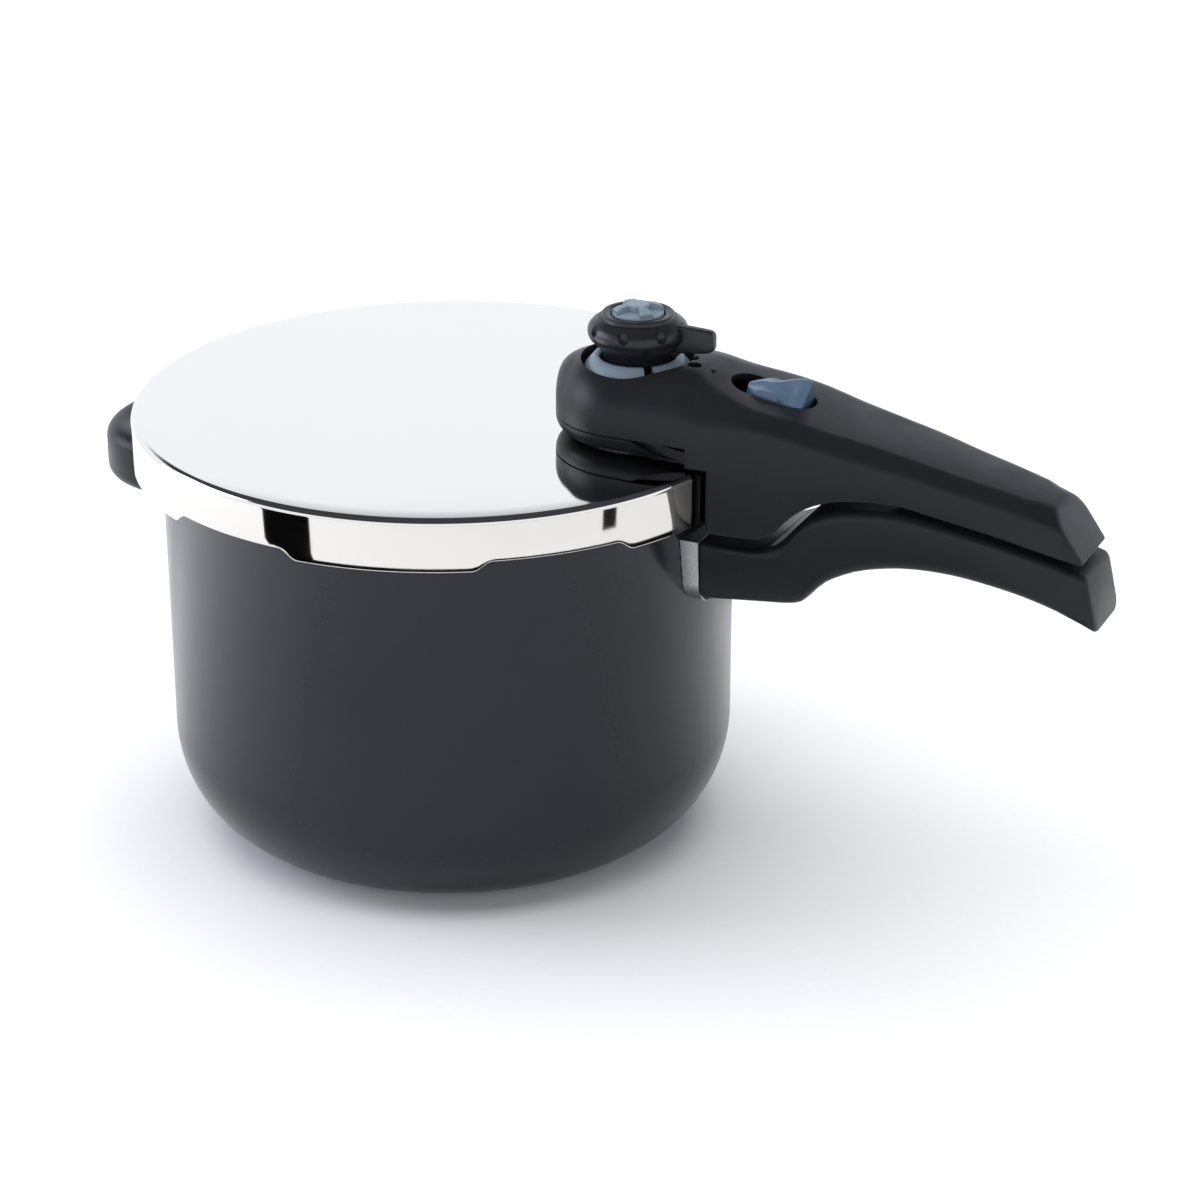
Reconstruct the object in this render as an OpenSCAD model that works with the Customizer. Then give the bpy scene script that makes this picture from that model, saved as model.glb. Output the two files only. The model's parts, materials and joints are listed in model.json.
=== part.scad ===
// Stovetop pressure cooker: a six litre pot, a bayonet lid and a pair of long handles that close together.
// The origin is the centre of the pot's base. +Z is up and +X runs along the long handles.

/* [Pot] */
// Outside diameter of the pot's wall
pot_od = 224; // [190:1:280]
// Height of the pot's rim above its base
pot_h = 165; // [130:1:210]
// Thickness of the pot's wall
wall_t = 3; // [2:0.1:3.6]
// Thickness of the pot's floor
floor_t = 5; // [3:0.5:8]
// Radial reach of the rounded corner at the foot of the wall
foot_r = 35; // [20:1:45]
// Height of the rounded corner at the foot of the wall
foot_h = 42; // [20:1:52]

/* [Bayonet] */
// Number of lugs on the pot's rim, and of tabs on the lid's skirt
lug_count = 6; // [5:1:7]
// Half angle of one lug on the pot's rim
lug_half = 9.5; // [7:0.5:10]
// Azimuth of the lug beside the long handle
lug_azimuth = -4; // [-5:0.5:-3]
// How far a lug stands out of the pot's wall
lug_reach = 8.5; // [7:0.1:11]
// Height of a lug
lug_t = 5; // [3:0.1:6]
// Azimuth of the lid's tab beside the long handle when the lid is closed
tab_azimuth = -14; // [-15:0.5:-13]
// Half angle of one deep tab on the lid's skirt
tab_half = 17; // [14:0.5:18]
// Clearance between a lug and the lip or the skirt around it
bayonet_gap = 1.3; // [0.6:0.1:2]

/* [Lid] */
// Thickness of the lid's sheet
lid_t = 1.25; // [0.8:0.05:1.6]
// Height of the lid's plain skirt below its top edge
skirt_h = 17; // [14:0.5:20]
// How far a tab reaches below the plain skirt
tab_drop = 3.75; // [2.5:0.25:5]
// Rise of the lid's flat top above its edge
crown = 1; // [0.5:0.1:2]
// Radius of the lid's top edge
edge_r = 2.5; // [1.8:0.1:3.5]
// Height of the gasket's section
gasket_h = 5.7; // [4.5:0.1:7]
// Width of the gasket's section
gasket_w = 10.8; // [8:0.1:12]

/* [Long handles] */
// Length of the lid's handle from the skirt to its end
grip_l = 140; // [116:1:170]
// Radius of the rounded head around the control knob
head_r = 31; // [29:0.5:36]
// Height of the head's top above the lid's edge
head_h = 32; // [31:0.5:36]
// Half width of both long handles at their ends
grip_end_w = 15; // [12:0.5:18]
// Half width of the pot's handle at its root
root_w = 24; // [20:0.5:26]
// Thickness of the handle shell's wall
shell_t = 2.6; // [2:0.1:3.2]
// Distance from the skirt back to the control knob's axis
knob_back = 42; // [39:0.5:46]

/* [Control valve] */
// Radius of the control knob at its bulge
knob_r = 19; // [16:0.5:21]
// Outside radius of the collar under the knob
collar_r = 20; // [18.5:0.5:21]
// Radius of the valve stem that carries the knob
stem_r = 8; // [7:0.1:9]
// Radius of the steam passage
vent_r = 1.8; // [1.2:0.1:2.2]
// Lift of the control valve's plunger
valve_lift = 2; // [1:0.1:2.5]
// Reach of the knob's pointer from its axis
pointer_l = 31.5; // [26:0.5:32]

/* [Lock] */
// Travel of the lock slider
lock_travel = 6.5; // [4:0.1:6.5]
// Width of the lock bar's tongue
tongue_w = 7; // [5:0.5:9]
// Slope of the handle's top, along which the slider runs, in degrees
lock_slope = 12; // [8:1:14]

/* [Helper handle] */
// Reach of the helper handle from the pot's wall
helper_reach = 40; // [34:1:50]
// Half width of the helper handle
helper_w = 39; // [32:1:46]
// Height of the helper handle's bar
helper_h = 22; // [16:1:26]
// Thickness of the helper handle's bar
helper_t = 13; // [10:0.5:14]

/* [Clearances] */
// Radial clearance of a shaft or knob that turns or slides
run_gap = 0.05; // [0.02:0.01:0.1]
// Clearance between fixed pieces that are pushed together
seat_gap = 0.1; // [0.05:0.05:0.3]
// Clearance between the closed lid's gasket and the rim
rim_gap = 0.3; // [0.3:0.05:0.6]

/* [Hidden] */
$fn = 96;
cut = 60;                                   // overlap of a cutting tool past the piece it cuts

pot_r = pot_od / 2;
pot_ri = pot_r - wall_t;
lug_r = pot_r + lug_reach;
bead_r = pot_r + wall_t;                    // the thickened rim above the lugs
skirt_ri = lug_r + bayonet_gap;
skirt_ro = skirt_ri + lid_t;
lid_top = pot_h + rim_gap + gasket_h + lid_t;
crown_z = lid_top + crown;
crown_r = pot_r;                            // the flat top ends over the pot's wall
skirt_z = lid_top - skirt_h;
tab_z = skirt_z - tab_drop;
lip_gap = 0.6;                              // height between a lip and the lug that it holds
lug_z = tab_z + lid_t + lip_gap;
lip_ri = bead_r + 1;
lip_half = lug_half;
lug_pitch = 360 / lug_count;

plate_t = 1.6;                              // thickness of the sheet brackets
rivet_r = 2.5;
rivet_head_r = 4.4;
rivet_head_h = 1.6;

// Heights and distances of the two handles are measured from the lid's top edge and the skirt's face.
seam_h = 9;                                 // seam between the head's shell and its base
floor_h = crown + plate_t;                  // underside of the handle's base over the lid's bracket
base_t = 2.4;
knob_x = skirt_ro - knob_back;
apron_ri = skirt_ro + bayonet_gap;
apron_ro = apron_ri + 2.5;
window_s = [-32, -9];                       // the opening between shell and base, along the handle

// Outlines of the two handles: [distance from the skirt, height above the lid's edge].
under_pts = [[-9.5, -23.5], [19, -23.5], [24, -21], [31, -13.5], [37, -9], [45, -5.5], [55, -3.7],
             [71, -3.4], [87, -6.4], [107, -10.5], [126, -15], [140, -18]];
crest_pts = [[-28, 0], [-13, 0], [-3, -3.7], [11, -7], [27, -9.5], [43, -13], [59, -16], [75, -19.4],
             [90, -23], [106, -26.4], [121, -30], [127, -31.8], [134, -39], [140, -48]];
low_top_pts = [[-6, -30.5], [19, -30.5], [25, -29], [29, -24.5], [33, -19.5], [37, -16.5], [44, -13.3],
               [54, -10.8], [71, -9.4], [88, -11.3], [107, -14.3], [126, -18.2], [141, -22], [146, -41]];
low_under_pts = [[-6, -54], [19, -51.7], [29, -50.7], [34, -49.2], [37, -46.2], [42, -40.8], [49, -36.5],
                 [57, -33.1], [72, -30], [88, -29.5], [103, -31.1], [119, -34.2], [134, -38.8], [146, -44]];
grip_from = 45;                             // the grip stretches from here to its end
grip_ref = 140;
low_end = 146;

function grip_s(s) = s < grip_from ? s : grip_from + (s - grip_from) * (grip_l - grip_from)
                                                   / (grip_ref - grip_from);
function stretched(pts, lift = 0) = [for (p = pts) [grip_s(p[0]), p[1] + lift]];
under = stretched(under_pts);
crest = stretched(crest_pts, head_h);
low_top = stretched(low_top_pts);
low_under = stretched(low_under_pts);

function head_w(s) = s < -5 ? head_r : head_r + (grip_end_w - head_r) * (s + 5) / (grip_l + 5);
function low_w(s) = root_w + (grip_end_w - root_w) * max(s, 0) / grip_s(low_end);
function reversed(v) = [for (i = [len(v) - 1:-1:0]) v[i]];
function arc(c, r, a0, a1, n) = [for (i = [0:n]) let (a = a0 + (a1 - a0) * i / n) c + r * [cos(a), sin(a)]];
function oval(c, rx, ry, a0, a1, n) =
    [for (i = [0:n]) let (a = a0 + (a1 - a0) * i / n) c + [rx * cos(a), ry * sin(a)]];

// One closed section across a handle: half width w, from zb up to zt, corner radii rb and rt.
function section(x, w, zb, zt, rt, rb) = let (
    t = min(rt, w * 0.9, (zt - zb) * 0.45), b = min(rb, w * 0.9, (zt - zb) * 0.45),
    loop = concat(arc([w - t, zt - t], t, 0, 90, 5), arc([t - w, zt - t], t, 90, 180, 5),
                  arc([b - w, zb + b], b, 180, 270, 2), arc([w - b, zb + b], b, 270, 360, 2)))
    [for (p = reversed(loop)) [x, p[0], p[1]]];

// A solid through a row of rings that all have the same number of points.
module loft(rings) {
    n = len(rings[0]);
    m = len(rings);
    sides = [for (i = [0:m - 2], j = [0:n - 1], k = [0:1]) let (a = i * n + j, b = i * n + (j + 1) % n)
             k == 0 ? [a, b, a + n] : [b, b + n, a + n]];
    polyhedron(points = [for (r = rings, p = r) p],
               faces = concat(sides, [reversed([for (j = [0:n - 1]) j])],
                              [[for (j = [0:n - 1]) (m - 1) * n + j]]));
}

// A round wire through a list of points that climb along Z, such as a spring's.
module wire(pts, r) {
    n = 8;
    m = len(pts);
    function along(i) = let (d = pts[min(i + 1, m - 1)] - pts[max(i - 1, 0)]) d / norm(d);
    function ring(i) = let (t = along(i), u = cross([0, 0, 1], t), v = u / norm(u), w = cross(t, v))
        [for (k = [0:n - 1]) pts[i] + r * (cos(360 * k / n) * v - sin(360 * k / n) * w)];
    loft([for (i = [0:m - 1]) ring(i)]);
}
module coil(r, wire_r, h, turns) {
    steps = 12 * turns;
    rise = h - 2 * wire_r;
    translate([0, 0, wire_r])
        wire([for (i = [0:steps]) [r * cos(30 * i), r * sin(30 * i), rise * i / steps]], wire_r);
}

module tube(ro, ri, h) {
    difference() {
        cylinder(r = ro, h = h);
        translate([0, 0, -1]) cylinder(r = ri, h = h + 2);
    }
}
module sector(ri, ro, z, h, mid, half) {
    rotate([0, 0, mid - half]) rotate_extrude(angle = 2 * half)
        translate([ri, z]) square([ro - ri, h]);
}
module at_handle() { translate([skirt_ro, 0, lid_top]) children(); }
module at_knob(z = 0) { translate([knob_x, 0, z]) children(); }
module side_prism(pts, w) { rotate([90, 0, 0]) linear_extrude(2 * w, center = true) polygon(pts); }

// ---------------------------------------------------------------- places
indicator_xy = [skirt_ro - 17, -4];
safety_xy = [knob_x + 18, 14];
lid_rivet_xy = [for (a = [180, 75, -60]) [knob_x, 0] + 15 * [cos(a), sin(a)]];
post_xy = [for (y = [-18, 18]) [knob_x - 6, y]];
post_r = 3.5;
post_h = 5;
screw_r = 1.6;
shell_screw_s = [[14, 17], [14, -17], [grip_l - 30, 0]];

thread_r = 6;                               // valve stem's thread through the lid
flange_r = 10;
flange_h = 3.2;
stem_top = head_h - 3.2;                    // heights of the valve parts, over the lid's edge
seat_h = head_h - 13.2;
recess_h = head_h - 9;                      // floor of the round recess in the head
recess_r = collar_r + 1.5;
knob_h0 = recess_h + 1;                     // the knob's lowest edge
knob_hollow = head_h + 7.1;                 // ceiling of the knob's spring chamber
knob_top = head_h + 13.4;
cap_r = 9.8;
plunger_r = 5;

pin_r = 2.2;
pin_travel = 4;                             // rise of the pressure indicator's pin
seal_lip = 1.2;
pin_foot_z = crown_z - lid_t - seal_lip - pin_travel - 1.6;   // underside of the pin's foot when it is down
seal_r = 4;
safety_r = 5;
safety_top = 10.8;                          // underside of the cap that holds the safety spring

tongue_z = lug_z + 1.2;                     // underside of the lock's tongue when it is withdrawn
tongue_t = 2.5;
tongue_tip = skirt_ri + 0.4;
slide_rise = lock_travel * sin(lock_slope);
slide_run = lock_travel * cos(lock_slope);
slot_mid = 13.5;                            // middle of the slider's slot, from the skirt
slot_l = 34;
slot_w = 9;
slider_l = 24;
slider_w = 7.6;
slider_s = slot_mid + (slot_l - slider_l) / 2 - 0.8;
function crest_at(s) = lookup(s, crest);
module on_slope(s) { at_handle() translate([s, 0, crest_at(s)]) rotate([0, lock_slope, 0]) children(); }

bracket_z = lid_top - 44;                   // height of the pot handle's bracket
bracket_w = 15;
tongue_l = 24;
arm_t = 4;
arm_w = 9;
handle_screw_x = pot_r + 19;
root_x = skirt_ro - 6;                      // face of the pot handle against its flame guard

helper_z = pot_h - 28;
helper_pad = 8;
helper_gap = 1.5;                           // between the wall and the helper handle's pad

// ---------------------------------------------------------------- pot group
module pot_body() {
    flare_z = lug_z - 5;
    profile = concat(
        [[0, 0], [pot_r - foot_r, 0]],
        oval([pot_r - foot_r, foot_h], foot_r, foot_h, -90, 0, 16),
        [[pot_r, flare_z], [bead_r, lug_z - 0.6], [bead_r, pot_h], [pot_ri, pot_h]],
        reversed(oval([pot_r - foot_r, foot_h], foot_r - wall_t, foot_h - floor_t, -90, 0, 16)),
        [[0, floor_t]]);
    color("#3b3d42") difference() {
        union() {
            rotate_extrude() polygon(profile);
            for (i = [0:lug_count - 1])
                sector(pot_r + 1, lug_r, lug_z, lug_t, lug_azimuth + i * lug_pitch, lug_half);
        }
        translate([bead_r + 0.4, -tongue_w / 2 - 0.6, lug_z - 1]) cube([cut, tongue_w + 1.2, lug_t + 2]);
        rivet_row(rivet_r + seat_gap);
        helper_rivet_row(rivet_r + seat_gap);
    }
}
module rivet_row(r) {
    for (y = [-11, 11]) translate([pot_ri - 9, y, bracket_z]) rotate([0, 90, 0]) cylinder(r = r, h = 18);
}
module helper_rivet_row(r) {
    for (y = [-9, 9]) translate([-pot_r - 9, y, helper_z]) rotate([0, 90, 0]) cylinder(r = r, h = 18);
}
module handle_bracket() {
    color("#b9bcc0") difference() {
        union() {
            intersection() {
                translate([0, 0, bracket_z - 9]) tube(pot_r + plate_t + seat_gap, pot_r + seat_gap, 18);
                translate([pot_r - 10, -bracket_w, bracket_z - 9]) cube([20, 2 * bracket_w, 18]);
            }
            translate([pot_r + 1, -arm_w / 2, bracket_z - arm_t / 2]) cube([tongue_l, arm_w, arm_t]);
        }
        rivet_row(rivet_r + seat_gap);
        translate([handle_screw_x, 0, bracket_z - cut / 2]) cylinder(r = screw_r + 0.4, h = cut);
    }
}
// Two rivets along X: a shank through the wall and the plate, with a head at each end.
module wall_rivets(r_in, r_out, y, z) {
    for (s = [-1, 1]) {
        x_in = sqrt(r_in * r_in - y * y) - rivet_head_h;
        x_out = sqrt(r_out * r_out - y * y) + seat_gap;
        translate([x_in, s * y, z]) rotate([0, 90, 0]) {
            cylinder(r = rivet_r, h = x_out - x_in + rivet_head_h);
            translate([0, 0, -0.4]) cylinder(r1 = rivet_r, r2 = rivet_head_r, h = rivet_head_h);
            translate([0, 0, x_out - x_in + 0.2]) cylinder(r1 = rivet_head_r, r2 = rivet_r, h = rivet_head_h);
        }
    }
}
module bracket_rivets() {
    color("#c9ccd0") wall_rivets(pot_ri, pot_r + plate_t + seat_gap, 11, bracket_z);
}
function guard_outline(inset) = let (w = root_w - inset, top = -30.6 - inset, foot = -58.5 + inset, c = 11)
    concat([[-w, top], [w, top]], arc([w - c - 2, foot + c], c, 0, -90, 6),
           arc([c + 2 - w, foot + c], c, -90, -180, 6));
module flame_guard() {
    sheet = 1.2;
    color("#c3c6ca") difference() {
        translate([pot_r - 8, 0, lid_top]) rotate([90, 0, 90]) linear_extrude(root_x - pot_r + 8 - seat_gap)
            polygon(guard_outline(0));
        translate([pot_r - 9, 0, lid_top]) rotate([90, 0, 90]) linear_extrude(root_x - pot_r + cut)
            polygon(guard_outline(sheet));
        cylinder(r = pot_r + seat_gap, h = lid_top);
    }
}
module pot_handle() {
    stations = [for (s = [-6, 8, 19, 25, 29, 33, 37, 42, 49, 57, 65, 76, 88, 103, 119, 134, 141, 146]) grip_s(s)];
    color("#1b1c1e") difference() {
        union() {
            at_handle() loft([for (s = stations) section(s, low_w(s), lookup(s, low_under), lookup(s, low_top), 6, 5)]);
            translate([pot_r + 3.4, -root_w + 8, bracket_z - 8]) cube([root_x - pot_r, 2 * root_w - 16, 17]);
        }
        translate([pot_r - 1, -arm_w / 2 - seat_gap, bracket_z - arm_t / 2 - seat_gap])
            cube([tongue_l + 3, arm_w + 2 * seat_gap, arm_t + 2 * seat_gap]);
        translate([handle_screw_x, 0, bracket_z - cut]) cylinder(r = 2.2, h = cut + arm_t + 1);
        translate([handle_screw_x, 0, bracket_z - cut - 8]) cylinder(r = 4.6, h = cut);
    }
}
module screw(r, l, head_r, head_h) {
    difference() {
        union() {
            translate([0, 0, -head_h / 2]) cylinder(r = r, h = l + head_h / 2);
            translate([0, 0, -head_h]) cylinder(r = head_r, h = head_h);
        }
        for (a = [0, 90]) rotate([0, 0, a]) translate([-head_r * 0.6, -0.4, -head_h - 1])
            cube([head_r * 1.2, 0.8, head_h * 0.6 + 1]);
    }
}
module pot_handle_screw() {
    color("#c9ccd0") translate([handle_screw_x, 0, bracket_z - 8]) screw(screw_r + 0.3, 12, 4, 2.6);
}
module helper_bracket() {
    color("#b9bcc0") difference() {
        union() {
            intersection() {
                translate([0, 0, helper_z - 9]) tube(pot_r + plate_t + seat_gap, pot_r + seat_gap, 18);
                translate([-pot_r - 10, -bracket_w, helper_z - 9]) cube([20, 2 * bracket_w, 18]);
            }
            translate([-pot_r - 7, 0, helper_z]) rotate([0, 90, 0]) cylinder(r = 3.6, h = 6.5);
        }
        helper_rivet_row(rivet_r + seat_gap);
        translate([-pot_r - 9, 0, helper_z]) rotate([0, 90, 0]) cylinder(r = screw_r + 0.4, h = 9.5);
    }
}
module helper_rivets() {
    color("#c9ccd0") mirror([1, 0, 0]) wall_rivets(pot_ri, pot_r + plate_t + seat_gap, 9, helper_z);
}
// Half of the helper handle's bar bends round an oval; its section is a rounded upright bar.
module helper_handle() {
    t = helper_t / 2;
    h = helper_h / 2;
    c = 5;
    rx = helper_reach - t;
    ry = helper_w - t;
    x0 = pot_r - 1;
    corner = concat(arc([t - c, h - c], c, 0, 90, 3), arc([c - t, h - c], c, 90, 180, 3),
                    arc([c - t, c - h], c, 180, 270, 3), arc([t - c, c - h], c, 270, 360, 3));
    function spot(a) = [rx * pow(cos(a), 0.8), ry * sin(a)];
    function aim(a) = let (d = [rx * cos(a), ry * sin(a)] / norm([rx * cos(a), ry * sin(a)])) a > 84 ? [0, 1]
                      : a < -84 ? [0, -1] : d;
    color("#1b1c1e") difference() {
        union() {
            mirror([1, 0, 0]) loft([for (a = [-90:9:90]) let (p = spot(a), d = aim(a))
                [for (q = corner) [x0 + p[0] + q[0] * d[0], p[1] + q[0] * d[1], helper_z + q[1]]]]);
            translate([-pot_r - helper_pad - 2, -helper_w + 6, helper_z - h + 3])
                cube([helper_pad + 8, 2 * helper_w - 12, helper_h - 6]);
        }
        translate([0, 0, helper_z - cut]) cylinder(r = pot_r + helper_gap, h = 2 * cut);
        translate([-pot_r - 5, -bracket_w - 2, helper_z - 11]) cube([12, 2 * bracket_w + 4, 22]);
        translate([-pot_r - 8, 0, helper_z]) rotate([0, 90, 0]) cylinder(r = 3.8, h = 9);
        translate([-pot_r - cut, 0, helper_z]) rotate([0, 90, 0]) cylinder(r = 2.2, h = cut);
    }
}
module helper_screw() {
    color("#c9ccd0") translate([-pot_r - helper_pad - 2 - seat_gap, 0, helper_z]) rotate([0, 90, 0])
        screw(screw_r + 0.3, 8, 4, 2.2);
}

// ---------------------------------------------------------------- lid group
module lid_shell() {
    corner = [skirt_ro - edge_r, lid_top - edge_r];
    profile = concat(
        [[0, crown_z], [crown_r, crown_z]],
        reversed(arc(corner, edge_r, 0, 90, 6)),
        [[skirt_ro, tab_z], [skirt_ri, tab_z]],
        arc(corner, edge_r - lid_t, 0, 90, 6),
        [[crown_r, crown_z - lid_t], [0, crown_z - lid_t]]);
    color("#d9dadc") difference() {
        union() {
            rotate_extrude() polygon(profile);
            for (i = [0:lug_count - 1])
                sector(lip_ri, skirt_ri + lid_t / 2, tab_z, lid_t, tab_azimuth + i * lug_pitch, lip_half);
        }
        for (i = [0:lug_count - 1])
            sector(skirt_ri - 2, skirt_ro + 2, tab_z - 1, tab_drop + 1,
                   tab_azimuth + (i + 0.5) * lug_pitch, lug_pitch / 2 - tab_half);
        translate([skirt_ri - 1, -tongue_w / 2 - 0.8, tongue_z - 0.6])
            cube([5, tongue_w + 1.6, tongue_t + slide_rise + 1.2]);
        at_knob(lid_top - 10) cylinder(r = thread_r + seat_gap, h = 20);
        translate([indicator_xy[0], indicator_xy[1], lid_top - 10]) cylinder(r = seal_r + seat_gap, h = 20);
        translate([safety_xy[0], safety_xy[1], lid_top - 10]) cylinder(r = safety_r + seat_gap, h = 20);
        for (p = lid_rivet_xy) translate([p[0], p[1], lid_top - 10]) cylinder(r = rivet_r + seat_gap, h = 20);
    }
}
module lid_gasket() {
    ro = skirt_ri - 0.4;
    z = pot_h + rim_gap;
    chamfer = 1.6;
    color("#c8c4bb") rotate_extrude() polygon([
        [ro - gasket_w, z], [ro, z], [ro, z + gasket_h - chamfer], [ro - chamfer, z + gasket_h],
        [ro - gasket_w + 4, z + gasket_h], [ro - gasket_w + 2, z + gasket_h - 2.4],
        [ro - gasket_w, z + gasket_h - 2.8]]);
}
module lid_bracket() {
    reach = knob_back - 11;
    color("#b9bcc0") at_knob(crown_z) difference() {
        union() {
            cylinder(r = 23, h = plate_t);
            translate([0, -21, 0]) cube([reach, 42, plate_t]);
            for (p = post_xy) translate([p[0] - knob_x, p[1], 0]) cylinder(r = post_r, h = post_h);
        }
        translate([0, 0, -1]) cylinder(r = thread_r + seat_gap, h = 5);
        translate([indicator_xy[0] - knob_x, indicator_xy[1], -1]) cylinder(r = seal_r + 2.4, h = 5);
        translate([safety_xy[0] - knob_x, safety_xy[1], -1]) cylinder(r = safety_r + 2.2, h = 5);
        for (p = lid_rivet_xy) translate([p[0] - knob_x, p[1], -1]) cylinder(r = rivet_r + seat_gap, h = 5);
        for (p = post_xy) translate([p[0] - knob_x, p[1], 1]) cylinder(r = screw_r + seat_gap, h = post_h);
    }
}
module lid_rivets() {
    grip = lid_t + plate_t;
    color("#c9ccd0") for (p = lid_rivet_xy) translate([p[0], p[1], crown_z - lid_t]) {
        translate([0, 0, -rivet_head_h]) cylinder(r = rivet_r, h = grip + rivet_head_h + 1);
        translate([0, 0, -rivet_head_h]) cylinder(r1 = rivet_r, r2 = rivet_head_r, h = rivet_head_h);
        translate([0, 0, grip]) cylinder(r1 = rivet_head_r, r2 = rivet_r, h = 1);
    }
}

// Plan of the head and grip, drawn in by an inset, between two distances from the skirt.
function plan(inset, s1) = let (r = head_r - inset, a1 = -knob_back, far = [for (s = [-5, s1]) [s, head_w(s) - inset]])
    concat(arc([a1, 0], r, 270, 90, 24), far, reversed([for (p = far) [p[0], -p[1]]]));
module plan_prism(inset, s1, z0, z1) {
    translate([0, 0, z0]) linear_extrude(z1 - z0) polygon(plan(inset, s1));
}
function strip(pts, lo, hi) = concat([for (p = pts) p + [0, lo]], reversed([for (p = pts) p + [0, hi]]));

module handle_base() {
    grip_under = [for (p = under) if (p[0] > 18 && p[0] < grip_l - 4) p];
    inner = shell_t + seat_gap;
    color("#222326") difference() {
        union() {
            intersection() {
                at_handle() difference() {
                    plan_prism(0, 5, floor_h, seam_h - seat_gap);
                    plan_prism(shell_t, 6, floor_h + base_t, cut);
                    side_prism([[window_s[0], seam_h], [window_s[1], floor_h + base_t], [30, floor_h + base_t],
                                [30, cut], [window_s[0], cut]], cut);
                }
                cylinder(r = apron_ro - 0.6, h = 2 * lid_top);
            }
            intersection() {
                sector(apron_ri, apron_ro, lid_top + under_pts[0][1], floor_h + base_t - under_pts[0][1], 0, 11);
                at_handle() plan_prism(inner, 20, -cut, cut);
            }
            intersection() {
                difference() {
                    at_handle() plan_prism(inner, grip_l - shell_t - 1, -cut, cut);
                    cylinder(r = apron_ri + 0.8, h = lid_top + floor_h);
                }
                at_handle() union() {
                    side_prism(strip(concat([[-9, under[0][1]]], grip_under), 0.4, 2.6), cut);
                }
            }
            at_handle() for (p = shell_screw_s) translate([p[0], p[1], lookup(p[0], under) + 0.5])
                cylinder(r = 4, h = 5);
        }
        translate([skirt_ro, -tongue_w / 2 - 0.8, tongue_z - 0.6])
            cube([10, tongue_w + 1.6, tongue_t + slide_rise + 1.2]);
        at_knob(lid_top) cylinder(r = flange_r + 0.5, h = cut);
        for (p = post_xy) translate([p[0], p[1], lid_top]) cylinder(r = post_r + seat_gap, h = cut);
        translate([indicator_xy[0], indicator_xy[1], lid_top]) cylinder(r = seal_r + 2.4, h = cut);
        translate([safety_xy[0], safety_xy[1], lid_top]) cylinder(r = safety_r + 2.2, h = cut);
        for (p = lid_rivet_xy) translate([p[0], p[1], lid_top]) cylinder(r = rivet_head_r + 0.4, h = floor_h + 1.6);
        at_handle() for (p = shell_screw_s) translate([p[0], p[1], -cut]) cylinder(r = screw_r + 0.3, h = 2 * cut);
    }
}
module base_screws() {
    color("#c9ccd0") for (p = post_xy)
        translate([p[0], p[1], crown_z + post_h + seat_gap]) rotate([180, 0, 0]) screw(screw_r, post_h - 1.2, 5.2, 2);
}

// The head's crest falls away round its nose; a is the angle round the head from its tip.
function nose_top(a) = head_h - 1 - 9 * pow(1 - sin(a), 1.6);
module shell_outside() {
    nose = [for (a = [12:13:90]) section(-knob_back - head_r * cos(a), head_r * sin(a), seam_h,
                                         nose_top(a), 9, 0.6)];
    head = [for (s = [-34, window_s[1] - 0.6]) section(s, head_w(s), seam_h, head_h - (s < -30 ? 0.4 : 0), 9, 0.6)];
    front = [for (s = [window_s[1], -3]) section(s, head_w(s), under[0][1], crest_at(s) - (s > -5 ? 0 : 0.2), 9, 1.5)];
    grip_s_list = [for (p = crest) if (p[0] > 0) p[0]];
    rise = [for (s = [3, 11, 19, 24, 31, 37, 45]) s];
    tail = [for (s = grip_s_list) if (s > 46) s];
    grip = [for (s = concat(rise, tail)) section(s, head_w(s), lookup(s, under), crest_at(s), 9, 1.5)];
    loft(concat(nose, head, front, grip));
}
module handle_shell() {
    inner_crest = [for (p = crest) if (p[0] < grip_l - 8) p - [0, shell_t]];
    color("#1b1c1e") difference() {
        union() {
            difference() {
                at_handle() shell_outside();
                at_handle() intersection() {
                    plan_prism(shell_t, grip_l - 5, -cut, cut);
                    side_prism(concat([[-knob_back - head_r, seam_h - 1], [-9, seam_h - 1], [-9, -cut], [grip_l - 5, -cut]],
                                      reversed(inner_crest), [[-knob_back - head_r, recess_h - 2]]), cut);
                }
            }
            intersection() {
                at_knob(lid_top + recess_h - 2.4) cylinder(r = recess_r + 2.2, h = cut);
                at_handle() shell_outside();
            }
            at_handle() for (p = shell_screw_s) translate([p[0], p[1], lookup(p[0], under) + 5.6])
                cylinder(r = 3.6, h = crest_at(p[0]) - lookup(p[0], under) - 6.6);
        }
        cylinder(r = apron_ro + seat_gap, h = lid_top + seam_h - 1.5);
        at_knob(lid_top + recess_h) cylinder(r = recess_r, h = cut);
        at_knob(lid_top) cylinder(r = stem_r + 0.5, h = cut);
        for (p = [indicator_xy, indicator_xy + [-4, 6.6]]) translate([p[0], p[1], lid_top]) cylinder(r = 2.8, h = cut);
        on_slope(slot_mid) for (x = [-1, 1]) translate([x * (slot_l / 2 - slot_w), 0, -shell_t - 4])
            cylinder(r = slot_w, h = cut);
        on_slope(slot_mid) translate([slot_w - slot_l / 2, -slot_w, -shell_t - 4])
            cube([slot_l - 2 * slot_w, 2 * slot_w, cut]);
        at_handle() for (p = shell_screw_s) translate([p[0], p[1], lookup(p[0], under)])
            cylinder(r = screw_r + seat_gap, h = 14);
    }
}
module shell_screws() {
    color("#c9ccd0") at_handle() for (p = shell_screw_s)
        translate([p[0], p[1], lookup(p[0] + 3.5, under) + 0.3]) screw(screw_r, 12, 3.2, 1.6);
}
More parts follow.
